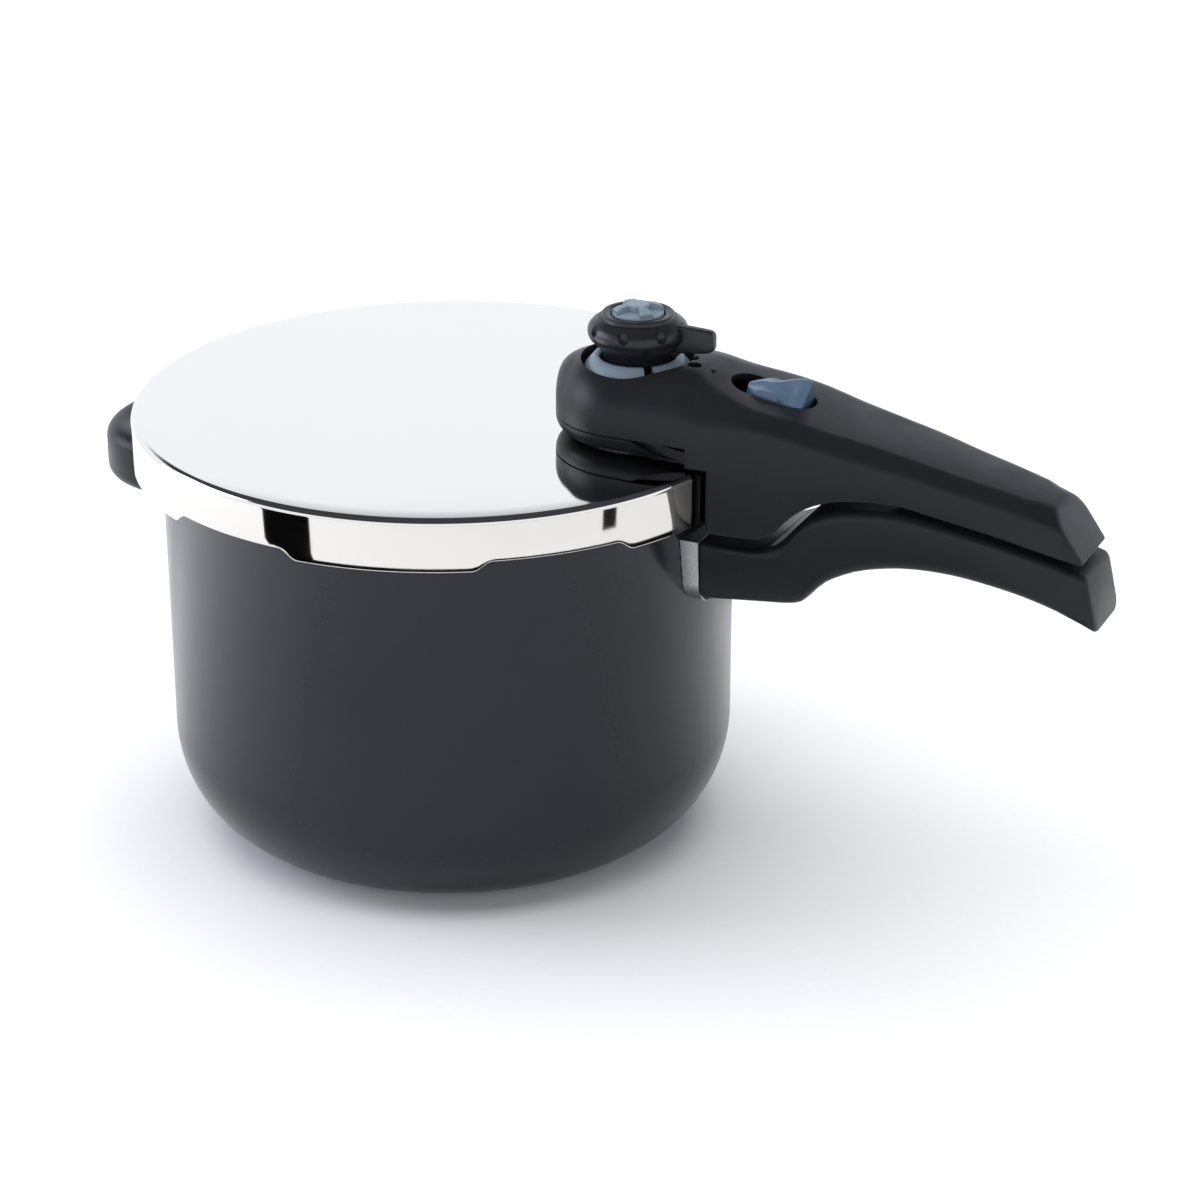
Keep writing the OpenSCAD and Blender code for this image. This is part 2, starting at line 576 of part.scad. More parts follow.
module valve_body() {
    bottom = -11;
    color("#c8b272") at_knob(lid_top) rotate_extrude() polygon([
        [vent_r, bottom], [thread_r, bottom], [thread_r, floor_h], [flange_r, floor_h],
        [flange_r, floor_h + flange_h], [stem_r, floor_h + flange_h], [stem_r, stem_top],
        [plunger_r + run_gap, stem_top], [plunger_r + run_gap, seat_h], [vent_r, seat_h - 1]]);
}
module valve_washer() {
    color("#c8c4bb") at_knob(crown_z - lid_t - 1.6) tube(thread_r + 3.4, thread_r + seat_gap, 1.6);
}
module valve_nut() {
    color("#c8b272") at_knob(crown_z - lid_t - 1.6 - 4.5) difference() {
        cylinder(r = 10, h = 4.5, $fn = 6);
        translate([0, 0, -1]) cylinder(r = thread_r + seat_gap, h = 7);
    }
}
// A perforated cap that keeps food out of the steam passage.
module vent_screen() {
    z = lid_top - 13.5;
    color("#b9bcc0") at_knob(z) difference() {
        cylinder(r = thread_r + 1.6, h = 6);
        translate([0, 0, 1]) cylinder(r = thread_r + seat_gap, h = 6);
        for (i = [0:5]) rotate([0, 0, i * 60]) translate([3.6, 0, -1]) cylinder(r = 0.9, h = 3);
    }
}
module collar_ring() {
    z = lid_top + recess_h;
    color("#8fa0b3") difference() {
        at_knob(z) rotate_extrude() polygon([
            [14.4, 0], [collar_r, 0], [collar_r, 3.2], [collar_r - 2.2, 6.8], [15.6, 6.8], [14.4, 5.4]]);
        at_knob(z - 1) rotate([0, 0, -52]) translate([0, -1.8, 0]) cube([cut, 3.6, cut]);
    }
}
module indicator_seal() {
    z0 = crown_z - lid_t;
    color("#c8c4bb") translate([indicator_xy[0], indicator_xy[1], 0]) rotate_extrude() polygon([
        [pin_r + run_gap, z0 - seal_lip], [seal_r + 0.3, z0 - seal_lip], [seal_r + 0.3, z0], [seal_r, z0], [seal_r, crown_z],
        [seal_r + 1.8, crown_z], [seal_r + 1.8, crown_z + 2], [pin_r + run_gap, crown_z + 2]]);
}
module safety_body() {
    color("#c8b272") translate([safety_xy[0], safety_xy[1], lid_top]) difference() {
        union() {
            translate([0, 0, -6]) cylinder(r = safety_r, h = 8);
            translate([0, 0, crown]) cylinder(r = safety_r + 1.6, h = safety_top + 1.5 - crown);
        }
        translate([0, 0, -7]) cylinder(r = 1.5, h = 20);
        translate([0, 0, 0]) cylinder(r = 3.5 + run_gap, h = 20);
    }
}
module safety_nut() {
    color("#c8b272") translate([safety_xy[0], safety_xy[1], crown_z - lid_t - 4]) difference() {
        cylinder(r = 8, h = 4, $fn = 6);
        translate([0, 0, -1]) cylinder(r = safety_r + seat_gap, h = 6);
    }
}
module safety_cap() {
    color("#c8b272") translate([safety_xy[0], safety_xy[1], lid_top + safety_top]) tube(3.5, 1.7, 1.5);
}

// ---------------------------------------------------------------- moving pieces
module regulator_knob() {
    k = knob_r - 19;
    h = head_h;
    dimple_r = 3;
    color("#1b1c1e") at_knob(lid_top) difference() {
        union() {
            rotate_extrude() polygon([
                [stem_r + run_gap, knob_h0], [12.6, knob_h0], [13.2, h - 4.4], [14.6 + k, h - 1.4],
                [17.6 + k, h + 1.8], [knob_r, h + 5], [knob_r, h + 7.6], [17.6 + k, h + 10.4],
                [15 + k, h + 11.9], [13.8, h + 12.2], [13.6, knob_top], [cap_r + 0.5, knob_top],
                [cap_r + 0.2, h + 10.4], [0, h + 10.4], [0, knob_hollow], [6.5, knob_hollow],
                [6.5, stem_top + 0.6], [stem_r + run_gap, stem_top + 0.6]]);
            side_prism([[12, h + 2.4], [knob_r - 1, h + 1.6], [pointer_l - 4, h + 4.2], [pointer_l, h + 6],
                        [pointer_l, h + 11.2], [pointer_l - 1.6, h + 12.8], [12, h + 11.6]], 2);
        }
        for (i = [0:7]) rotate([0, 0, 22.5 + 45 * i]) translate([knob_r + 1.6, 0, h + 6]) sphere(r = dimple_r);
    }
}
module knob_cap() {
    h = head_h + 10.4;
    color("#8fa0b3") at_knob(lid_top + h) {
        rotate_extrude() polygon([[0, 0], [cap_r, 0], [cap_r, 3.4], [6.6, 5.4], [6.2, 8.4], [5.6, 9], [0, 9]]);
        for (i = [0:3]) rotate([0, 0, 90 * i])
            side_prism([[4, 3], [cap_r - 0.3, 3], [cap_r - 0.6, 4.4], [6, 8], [4, 8]], 2.2);
    }
}
module valve_plunger() {
    seat = seat_h + 0.1;
    stop = knob_hollow - valve_lift - 0.3;      // the knob's ceiling stops the plunger's lift
    color("#b9bcc0") at_knob(lid_top) rotate_extrude() polygon([
        [0, seat - 1.6], [0.8, seat - 1.6], [vent_r - 0.4, seat], [plunger_r, seat], [plunger_r, seat + 8],
        [2.2, seat + 8], [2.2, stop], [0, stop]]);
}
module valve_spring() {
    z0 = seat_h + 8.15;
    color("#9a9da2") at_knob(lid_top + z0) coil(3.6, 0.5, knob_hollow - z0 - 0.05, 5);
}
module indicator_pin() {
    color("#a8342c") translate([indicator_xy[0], indicator_xy[1], 0]) rotate_extrude() polygon([
        [0, pin_foot_z], [3.2, pin_foot_z], [3.2, pin_foot_z + 1], [pin_r, pin_foot_z + 1],
        [pin_r, lid_top + head_h - 5], [0, lid_top + head_h - 5]]);
}
module indicator_clip() {
    color("#c9ccd0") translate([indicator_xy[0], indicator_xy[1], crown_z + 2.1])
        tube(pin_r + 1.6, pin_r + 0.02, 0.8);
}
module safety_plunger() {
    color("#b9bcc0") translate([safety_xy[0], safety_xy[1], lid_top]) rotate_extrude() polygon([
        [0, 0.1], [3.5, 0.1], [3.5, 2.6], [1.5, 2.6], [1.5, 7], [0, 7]]);
}
module safety_spring() {
    color("#9a9da2") translate([safety_xy[0], safety_xy[1], lid_top + 2.7]) coil(2.6, 0.4, safety_top - 2.75, 4);
}
// The button: a long drop that points at the pot, with a ridge that ends in a fin.
module lock_slider() {
    w = slider_w;
    l = slider_l / 2;
    drop = concat(arc([l - w, 0], w, -80, 80, 12), [[-l + 3, 2.6]], arc([-l + 2, 0], 2, 90, 270, 4), [[-l + 3, -2.6]]);
    color("#8fa0b3") on_slope(slider_s) {
        translate([0, 0, -2.6]) linear_extrude(4.6) polygon(drop);
        side_prism([[-4, 1.8], [3, 3.4], [7.5, 7.4], [9, 7.2], [l - 0.6, 1.8]], 2);
    }
}
module lock_bar() {
    leg_s = slider_s + 2.4;
    top = crest_at(leg_s);
    color("#b9bcc0") {
        on_slope(slider_s) translate([-9, -slot_w - 1.5, -shell_t - 3]) difference() {
            cube([18, 2 * slot_w + 3, 2]);
            translate([6, slot_w + 1.5, -1]) cylinder(r = screw_r + seat_gap, h = 4);
        }
        translate([skirt_ro + leg_s, -tongue_w / 2, tongue_z])
            cube([2.5, tongue_w, lid_top + top - tongue_z - shell_t - 2]);
        translate([tongue_tip, -tongue_w / 2, tongue_z])
            cube([skirt_ro + leg_s - tongue_tip + 1, tongue_w, tongue_t]);
    }
}
module lock_screw() {
    color("#c9ccd0") on_slope(slider_s) translate([-3, 0, -shell_t - 3 - seat_gap]) screw(screw_r, 2.3, 2.6, 1.4);
}

pot_body();
handle_bracket();
bracket_rivets();
flame_guard();
pot_handle();
pot_handle_screw();
helper_bracket();
helper_rivets();
helper_handle();
helper_screw();
lid_shell();
lid_gasket();
lid_bracket();
lid_rivets();
handle_base();
base_screws();
handle_shell();
shell_screws();
valve_body();
valve_washer();
valve_nut();
vent_screen();
collar_ring();
indicator_seal();
safety_body();
safety_nut();
safety_cap();
regulator_knob();
knob_cap();
valve_plunger();
valve_spring();
indicator_pin();
indicator_clip();
safety_plunger();
safety_spring();
lock_slider();
lock_bar();
lock_screw();
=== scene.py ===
"""Fine surfaces of a stovetop pressure cooker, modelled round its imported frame."""

import json
import math

import bmesh
import bpy
from mathutils import Matrix, Vector


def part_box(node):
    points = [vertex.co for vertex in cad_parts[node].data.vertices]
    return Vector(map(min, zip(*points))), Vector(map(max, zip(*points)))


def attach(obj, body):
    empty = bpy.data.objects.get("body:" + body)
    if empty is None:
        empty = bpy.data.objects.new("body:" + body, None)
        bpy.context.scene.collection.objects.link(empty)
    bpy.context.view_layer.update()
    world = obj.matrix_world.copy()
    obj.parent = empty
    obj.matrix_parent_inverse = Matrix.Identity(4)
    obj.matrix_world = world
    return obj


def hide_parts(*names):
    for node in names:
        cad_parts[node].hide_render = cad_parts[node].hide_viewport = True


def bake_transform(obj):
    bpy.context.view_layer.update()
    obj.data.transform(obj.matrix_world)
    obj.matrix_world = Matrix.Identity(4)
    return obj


bl_info = {
    "name": "Stovetop Pressure Cooker",
    "version": (1, 0, 0),
    "blender": (4, 5, 0),
    "location": "View3D > Sidebar > Cooker",
    "description": "Models the pot, lid, handles and control knob of a pressure cooker",
    "category": "Object",
}

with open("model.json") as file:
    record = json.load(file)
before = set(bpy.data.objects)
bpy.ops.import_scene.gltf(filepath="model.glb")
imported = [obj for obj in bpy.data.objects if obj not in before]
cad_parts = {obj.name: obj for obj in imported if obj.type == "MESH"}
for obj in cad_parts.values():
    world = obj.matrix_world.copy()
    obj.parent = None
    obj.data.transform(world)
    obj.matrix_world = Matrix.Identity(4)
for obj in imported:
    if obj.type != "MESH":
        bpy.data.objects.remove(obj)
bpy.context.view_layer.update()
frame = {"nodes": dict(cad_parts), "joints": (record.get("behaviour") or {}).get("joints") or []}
MM = 0.001


# ---------------------------------------------------------------- places, in millimetres
def span(node):
    """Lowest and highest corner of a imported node."""
    low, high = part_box(node)
    return low / MM, high / MM


def middle(node):
    """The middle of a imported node."""
    return [(a + b) / 2 for a, b in zip(*span(node))]


def joint_place(name):
    """Where a joint's axis stands."""
    joint = next(j for j in frame["joints"] if j["name"] == name)
    return Vector(joint["pos_m"]) / MM


# The lid's top is CROWN higher in the middle than at LID_EDGE, and SKIRT is the radius of its skirt.
LID_LOW, LID_HIGH = span("lid_shell")
CROWN = 1.0
LID_EDGE = LID_HIGH.z - CROWN
SKIRT = LID_HIGH.x
SHEET = 1.25

# The pot's wall, its rim, and the lugs and the lid's tabs that lock together, as angles in degrees.
POT_HIGH = span("pot_body")[1]
RIM = POT_HIGH.z
LUG_R = POT_HIGH.y
POT_R = 112.0
WALL = 3.0
LUG_COUNT = 6
LUG_PITCH = 360 / LUG_COUNT
LUG_AZIMUTH, LUG_HALF = -4.0, 9.5
TAB_AZIMUTH, TAB_HALF, TAB_DROP = -14.0, 17.0, 3.75

# The window in the skirt and in the apron behind it, which the lock bar's tongue comes through.
TONGUE_LOW, TONGUE_TALL, TONGUE_HALF = LID_LOW.z + SHEET + 1.2, 5, 4.3

# The knob's axis, and the two round holes beside it, of which the first holds the indicator's pin.
KNOB_X = joint_place("knob_turn").x
KNOB_BACK = SKIRT - KNOB_X
INDICATOR = (SKIRT - 17.0, -4.0)
SECOND_HOLE = (SKIRT - 21.0, 2.6)

# The apron that hangs from the head's base in front of the skirt.
APRON_IN, APRON_OUT = SKIRT + 1.3, SKIRT + 3.8
APRON_LOW, APRON_HIGH = LID_EDGE - 23.5, LID_EDGE + 5.0

# Steps round whatever runs all the way round the pot's wall.
WALL_STEPS = 240

# The long handles are laid out by distance from the skirt and height above the lid's edge. _W is a half
# width and _L is a length. A table holds the points of one edge, as the handle is seen from its side.
HEAD_R, HEAD_H, HEAD_DROP = 31.0, 32.0, 11.0
SEAM = 9.0
BASE_FLOOR = 2.6
GRIP_END_W, ROOT_W = 15.0, 24.0
GRIP_L, LOW_L = 140.0, 146.0
TAPER_FROM = -5
CREST_END, LOW_TOP_END = 127, 141.0
UNDER = [(-9.5, -23.5), (19, -23.5), (24, -21), (31, -13.5), (37, -9), (45, -5.5), (55, -3.7),
         (71, -3.4), (87, -6.4), (107, -10.5), (126, -15), (140, -18)]
CREST = [(-42, 32), (-20, 32), (-13, 31.4), (-3, 28.3), (11, 25), (27, 22.5), (43, 19), (59, 16),
         (75, 12.6), (90, 9), (106, 5.6), (121, 2), (127, 0.2)]
LOW_TOP = [(-6, -30.5), (19, -30.5), (25, -29), (29, -24.5), (33, -19.5), (37, -16.5), (44, -13.3),
           (54, -10.8), (71, -9.4), (88, -11.3), (107, -14.3), (126, -18.2), (141, -22)]
LOW_UNDER = [(-6, -54), (19, -51.7), (29, -50.7), (34, -49.2), (37, -46.2), (42, -40.8), (49, -36.5),
             (57, -33.1), (72, -30), (88, -29.5), (103, -31.1), (119, -34.2), (134, -38.8), (146, -44)]

# The upper handle's wall, its slope in degrees under the slider, the slider's slot and the knob's recess.
SHELL_WALL = 2.6
SLOPE = 12.0
SLOT_MID, SLOT_L, SLOT_W = 13.5, 34.0, 9.0
RECESS_H, RECESS_R = 23.0, 21.5


# ---------------------------------------------------------------- colour and numbers
def linear(text):
    """A linear RGBA colour from an sRGB hex value."""
    parts = [int(text[i:i + 2], 16) / 255 for i in (1, 3, 5)]
    return [p / 12.92 if p <= 0.04045 else ((p + 0.055) / 1.055) ** 2.4 for p in parts] + [1.0]


def colour_setting(name, description, text):
    """A colour in the panel, given as an sRGB hex value."""
    return bpy.props.FloatVectorProperty(name=name, description=description, subtype="COLOR", size=4,
                                         min=0, max=1, default=linear(text))


def length_setting(name, description, millimetres):
    """A length in the panel, which Blender keeps in metres."""
    return bpy.props.FloatProperty(name=name, description=description, default=millimetres * MM, min=0,
                                   unit="LENGTH", precision=5)


def smooth(t):
    """Eases from 0 to 1."""
    t = min(1.0, max(0.0, t))
    return t * t * (3 - 2 * t)


def mix(a, b, t):
    """The value that lies a share of the way from one to another."""
    return a + (b - a) * t


def oval(x, y, rx, ry, start, end, steps):
    """Points round part of an ellipse, from one angle to another in degrees."""
    turn = [math.radians(mix(start, end, i / steps)) for i in range(steps + 1)]
    return [(x + rx * math.cos(a), y + ry * math.sin(a)) for a in turn]


def arc(x, y, radius, start, end, steps):
    """Points round part of a circle."""
    return oval(x, y, radius, radius, start, end, steps)


def height_at(line, s):
    """Height of the smooth line through given points, at one distance."""
    if s <= line[0][0]:
        return line[0][1]
    if s >= line[-1][0]:
        return line[-1][1]
    i = next(k for k in range(len(line) - 1) if s <= line[k + 1][0])

    def lean(k):
        before, after = line[max(k - 1, 0)], line[min(k + 1, len(line) - 1)]
        return (after[1] - before[1]) / (after[0] - before[0])

    (s0, h0), (s1, h1) = line[i], line[i + 1]
    width = s1 - s0
    t = (s - s0) / width
    return ((2 * t ** 3 - 3 * t ** 2 + 1) * h0 + (t ** 3 - 2 * t ** 2 + t) * width * lean(i)
            + (3 * t ** 2 - 2 * t ** 3) * h1 + (t ** 3 - t ** 2) * width * lean(i + 1))


def head_half(s):
    """Half width of the upper handle, which narrows from TAPER_FROM on."""
    return HEAD_R if s < TAPER_FROM else mix(HEAD_R, GRIP_END_W, (s - TAPER_FROM) / (GRIP_L - TAPER_FROM))


def low_half(s):
    """Half width of the pot's handle."""
    return mix(ROOT_W, GRIP_END_W, max(s, 0) / LOW_L)


# ---------------------------------------------------------------- modelling helpers
def fresh():
    """Leaves edit mode and deselects everything, so that an operator acts on one piece alone."""
    if bpy.context.object and bpy.context.object.mode != "OBJECT":
        bpy.ops.object.mode_set(mode="OBJECT")
    bpy.ops.object.select_all(action="DESELECT")


def use(piece):
    """Makes one piece the active and only selected one."""
    fresh()
    bpy.context.view_layer.objects.active = piece
    piece.select_set(True)


def draw_loop(name, points):
    """Adds a circle and moves its points on to an outline. It stays in edit mode, all selected."""
    fresh()
    bpy.ops.mesh.primitive_circle_add(vertices=len(points), radius=MM, enter_editmode=True)
    piece = bpy.context.object
    piece.name = piece.data.name = name
    mesh = bmesh.from_edit_mesh(piece.data)
    order = mesh.verts.layers.int.new("order")
    mesh.verts.ensure_lookup_table()
    for i, point in enumerate(points):
        mesh.verts[i][order] = i
        mesh.verts[i].co = Vector(point) * MM
    bmesh.update_edit_mesh(piece.data)
    return piece


def close_up():
    """Merges doubled points, fills what is open, turns every face outwards and leaves edit mode."""
    bpy.ops.mesh.select_all(action="SELECT")
    bpy.ops.mesh.remove_doubles(threshold=0.002 * MM)
    bpy.ops.mesh.delete_loose(use_verts=True, use_edges=True, use_faces=False)
    bpy.ops.mesh.select_all(action="SELECT")
    bpy.ops.mesh.fill_holes(sides=0)
    bpy.ops.mesh.select_all(action="SELECT")
    bpy.ops.mesh.normals_make_consistent(inside=False)
    bpy.ops.object.mode_set(mode="OBJECT")


def lathe(name, outline, x=0.0, y=0.0, steps=96, start=0.0, turn=360.0):
    """Spins an outline of (radius, height) points round an upright axis."""
    a = math.radians(start)
    piece = draw_loop(name, [(x + r * math.cos(a), y + r * math.sin(a), z) for r, z in outline])
    bpy.ops.mesh.spin(steps=steps, angle=-math.radians(turn), center=(x * MM, y * MM, 0), axis=(0, 0, 1),
                      use_auto_merge=False)
    close_up()
    return piece


def loft(name, rings):
    """Extrudes a closed ring of points from each ring to the next, and closes both ends."""
    piece = draw_loop(name, rings[0])
    for ring in rings[1:]:
        bpy.ops.mesh.extrude_region_move()
        mesh = bmesh.from_edit_mesh(piece.data)
        order = mesh.verts.layers.int["order"]
        for vert in mesh.verts:
            if vert.select:
                vert.co = Vector(ring[vert[order]]) * MM
        bmesh.update_edit_mesh(piece.data)
    close_up()
    return piece


def prism(name, outline, sweep):
    """Fills an outline and extrudes it along a vector."""
    piece = draw_loop(name, outline)
    bpy.ops.mesh.edge_face_add()
    bpy.ops.mesh.extrude_region_move(TRANSFORM_OT_translate={"value": Vector(sweep) * MM})
    close_up()
    return piece


def block(name, low, high):
    """A box between two corners."""
    low, high = Vector(low), Vector(high)
    return prism(name, [(low.x, low.y, low.z), (high.x, low.y, low.z), (high.x, high.y, low.z),
                        (low.x, high.y, low.z)], (0, 0, high.z - low.z))


def drill(x, y, low, high, radius, steps=48):
    """An upright cylinder, for cutting a round hole."""
    return lathe("drill", [(0, low), (radius, low), (radius, high), (0, high)], x, y, steps)


def combine(piece, tools, how):
    """Applies a boolean with each tool to a piece, and removes the tool."""
    for tool in tools:
        use(piece)
        bpy.ops.object.modifier_add(type="BOOLEAN")
        change = piece.modifiers[-1]
        change.object, change.operation, change.solver = tool, how, "EXACT"
        bpy.ops.object.modifier_apply(modifier=change.name)
        bpy.data.objects.remove(tool, do_unlink=True)
    return piece


def cut(piece, *tools):
    """Cuts tools from a piece."""
    return combine(piece, tools, "DIFFERENCE")


def add(piece, *tools):
    """Joins tools to a piece."""
    return combine(piece, tools, "UNION")


def round_edges(piece, width, segments=3):
    """Bevels every edge where the faces turn by more than 30 degrees."""
    use(piece)
    bpy.ops.object.modifier_add(type="BEVEL")
    change = piece.modifiers[-1]
    change.width, change.segments = width * MM, segments
    change.limit_method, change.angle_limit = "ANGLE", math.radians(30)
    bpy.ops.object.modifier_apply(modifier=change.name)
    return piece


def finish(piece, body, slot, material, *nodes, angle=32):
    """Merges what a cut left doubled, shades the piece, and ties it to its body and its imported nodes."""
    use(piece)
    bpy.ops.object.mode_set(mode="EDIT")
    bpy.ops.mesh.select_all(action="SELECT")
    bpy.ops.mesh.remove_doubles(threshold=0.002 * MM)
    bpy.ops.object.mode_set(mode="OBJECT")
    if "order" in piece.data.attributes:
        piece.data.attributes.remove(piece.data.attributes["order"])
    bpy.ops.object.shade_smooth_by_angle(angle=math.radians(angle))
    piece.data.materials.clear()
    piece.data.materials.append(material)
    if body:
        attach(piece, body)
    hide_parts(*nodes)
    piece.select_set(False)
    return piece


def bar_ring(low, high, half, top_round, low_round, inset=0.0, crown=0.0):
    """One ring round a handle, between a point of its underside and one of its crest.

    Each point is (distance from the skirt, height above the lid's edge), so a ring may lean."""
    (s0, h0), (s1, h1) = low, high
    tall = math.hypot(s1 - s0, h1 - h0)
    half = half - inset
    top = min(top_round, half * 0.95, tall * 0.48)
    bottom = min(low_round, half * 0.95, tall * 0.4)
    loop = (arc(half - top, tall - inset - top, top, 0, 90, 8)
            + arc(top - half, tall - inset - top, top, 90, 180, 8)
            + arc(bottom - half, inset + bottom, bottom, 180, 270, 4)
            + arc(half - bottom, inset + bottom, bottom, 270, 360, 4))
    loop = [(y, h + crown * max(0.0, 1 - (y / half) ** 4)) if h > tall / 2 else (y, h) for y, h in loop]
    return [(SKIRT + mix(s0, s1, h / tall), y, LID_EDGE + mix(h0, h1, h / tall)) for y, h in loop]


def end_rings(first, radius):
    """How far the last rings of a handle stand back from its end, and how far each is drawn in there."""
    return [(first, 0)] + [(radius * back, radius * draw)
                           for back, draw in ((1, 0), (0.55, 0.12), (0.2, 0.42), (0, 1))]


# ---------------------------------------------------------------- materials
def node(tree, kind, sockets=(), **settings):
    """Adds a node with its settings, and sets or joins its sockets."""
    made = tree.nodes.new(kind)
    for key, value in settings.items():
        setattr(made, key, value)
    for socket, value in sockets:
        if isinstance(value, bpy.types.NodeSocket):
            tree.links.new(value, made.inputs[socket])
        else:
            made.inputs[socket].default_value = value
    return made


def grain(tree, size_mm, stretch=(1, 1, 1), detail=2.0):
    """A noise whose spots are about as wide as a real size in millimetres."""
    place = node(tree, "ShaderNodeTexCoord").outputs["Object"]
    laid = node(tree, "ShaderNodeMapping", [("Vector", place), ("Scale", stretch)]).outputs["Vector"]
    noise = node(tree, "ShaderNodeTexNoise", [("Vector", laid), ("Scale", 0.5 / (size_mm * MM)),
                                              ("Detail", detail), ("Roughness", 0.55)])
    return noise.outputs["Fac"]


def shade(colour, k):
    """A colour made darker or lighter by a factor."""
    return [c * k for c in colour[:3]] + [1.0]


def surface(name, dark, light, fine_mm, gloss=None, slow_mm=0, depth_mm=0, stretch=(1, 1, 1), detail=2.0):
    """A material whose colour, gloss and height follow noises of real sizes in millimetres.

    The fine noise mixes the two colours and raises the surface by a depth. The gloss runs between two
    roughnesses with the slow noise, where there is one, and otherwise with the fine one."""
    made = bpy.data.materials.new(name)
    made.use_nodes = True
    tree = made.node_tree
    shader = tree.nodes["Principled BSDF"]
    fine = grain(tree, fine_mm, stretch, detail)
    tinted = node(tree, "ShaderNodeMix", [("Factor", fine), ("A", dark), ("B", light)], data_type="RGBA")
    tree.links.new(tinted.outputs["Result"], shader.inputs["Base Color"])
    if gloss:
        wave = grain(tree, slow_mm) if slow_mm else fine
        polish = node(tree, "ShaderNodeMapRange", [("Value", wave), ("From Min", 0.3), ("From Max", 0.7),
                                                   ("To Min", gloss[0]), ("To Max", gloss[1])])
        tree.links.new(polish.outputs["Result"], shader.inputs["Roughness"])
    if depth_mm:
        relief = node(tree, "ShaderNodeBump", [("Height", fine), ("Distance", depth_mm * MM),
                                               ("Strength", 1.0)])
        tree.links.new(relief.outputs["Normal"], shader.inputs["Normal"])
    return made, shader


def moulded(name, colour, roughness, spot_mm, depth_mm, vary=0.12, ior=1.5, shine=0.5):
    """A moulded plastic: a fine sparked grain, and a slow change of gloss where hands have polished it."""
    made, shader = surface(name, shade(colour, 1 - vary), shade(colour, 1 + vary), spot_mm,
                           (roughness - 0.05, roughness + 0.05), 9, depth_mm)
    shader.inputs["IOR"].default_value = ior
    shader.inputs["Specular IOR Level"].default_value = shine
    return made


def metal(name, colour, roughness, spot_mm, stretch=(1, 1, 1), depth_mm=0.002, vary=0.05):
    """A worked metal: its tool marks soften what it mirrors, and are long where the stretch is small."""
    made, shader = surface(name, shade(colour, 1 - vary), colour, spot_mm,
                           (roughness * 0.8, roughness * 1.2), depth_mm=depth_mm, stretch=stretch)
    shader.inputs["Metallic"].default_value = 1.0
    return made


def hard_anodised_aluminium(colour):
    """Sealed oxide on bead-blasted aluminium: dark, satin, and bright only at a grazing angle."""
    made, shader = surface("hard_anodised_aluminium", shade(colour, 0.92), shade(colour, 1.08), 0.5,
                           (0.2, 0.25), 30, 0.004)
    shader.inputs["IOR"].default_value = 1.38
    return made


def polished_stainless(colour):
    """Buffed stainless sheet: a mirror with faint wiping haze."""
    made, shader = surface("polished_stainless", shade(colour, 0.97), colour, 14, (0.035, 0.075),
                           detail=4.0)
    shader.inputs["Metallic"].default_value = 1.0
    return made


MATERIALS = {}


def material(key):
    """Each material is made once, from the colours in the panel."""
    if key not in MATERIALS:
        c = bpy.context.scene.cooker_colours
        makers = {
            "anodised": lambda: hard_anodised_aluminium(c.anodised[:]),
            "mirror": lambda: polished_stainless(c.mirror[:]),
            # Brushed upright, so that its highlight is drawn out into an upright streak.
            "satin": lambda: metal("satin_stainless", c.satin[:], 0.3, 0.25, (1, 1, 0.04), 0.004, 0.12),
            # Zinc on pressed steel: bright, with the faint cloud of the bath.
            "plated": lambda: metal("plated_steel", c.plated[:], 0.25, 0.6),
            # Drawn wire: grey and even, with a soft highlight along each turn.
            "spring": lambda: metal("spring_steel", c.spring[:], 0.3, 0.3),
            # Turned bar: warm yellow, with the fine marks of the lathe.
            "brass": lambda: metal("turned_brass", c.brass[:], 0.25, 0.4),
            # Resin pressed in a sparked mould: a soft black sheen, with its grain coarse enough to show.
            "phenolic": lambda: moulded("black_phenolic", c.phenolic[:], 0.38, 0.45, 0.02, shine=0.24),
            # The same resin from a polished mould: smoother, with a sharper highlight.
            "phenolic_gloss": lambda: moulded("pressed_phenolic", c.phenolic[:], 0.36, 0.5, 0.008, shine=0.4),
            # Dyed nylon: one even colour with a waxy, half-soft highlight.
            "blue": lambda: moulded("blue_grey_nylon", c.blue[:], 0.4, 0.4, 0.006, 0.04),
            "slate": lambda: moulded("slate_blue_nylon", c.slate[:], 0.38, 0.4, 0.006, 0.04),
            "red": lambda: moulded("red_nylon", c.red[:], 0.4, 0.4, 0.005, 0.04),
            # Cured rubber: pale and dull, with almost no highlight.
            "silicone": lambda: moulded("silicone_rubber", c.silicone[:], 0.55, 0.5, 0.005, 0.03, 1.41),
        }
        MATERIALS[key] = makers[key]()
    return MATERIALS[key]


# ---------------------------------------------------------------- settings
class CookerSizes(bpy.types.PropertyGroup):
    """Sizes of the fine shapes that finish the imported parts."""

    rim_round: length_setting("Rim round", "Radius of the pot's rounded rim", 0.9)
    edge_radius: length_setting("Lid edge", "Radius of the lid's top edge", 2.5)
    step_width: length_setting("Tab step", "Length along the skirt of each tab's curved step", 7.3)
    seam_gap: length_setting("Seam", "Dark gap between the head and its base", 0.5)
    shoulder: length_setting("Shoulder", "Radius of the upper handle's top edges", 9.0)
    head_round: length_setting("Head round", "Radius of the head's top edge", 21.0)
    end_round: length_setting("End round", "Radius of the edge round each handle's end face", 1.8)
    dimples: bpy.props.IntProperty(name="Dimples", description="Finger dimples round the knob",
                                   default=8, min=4)


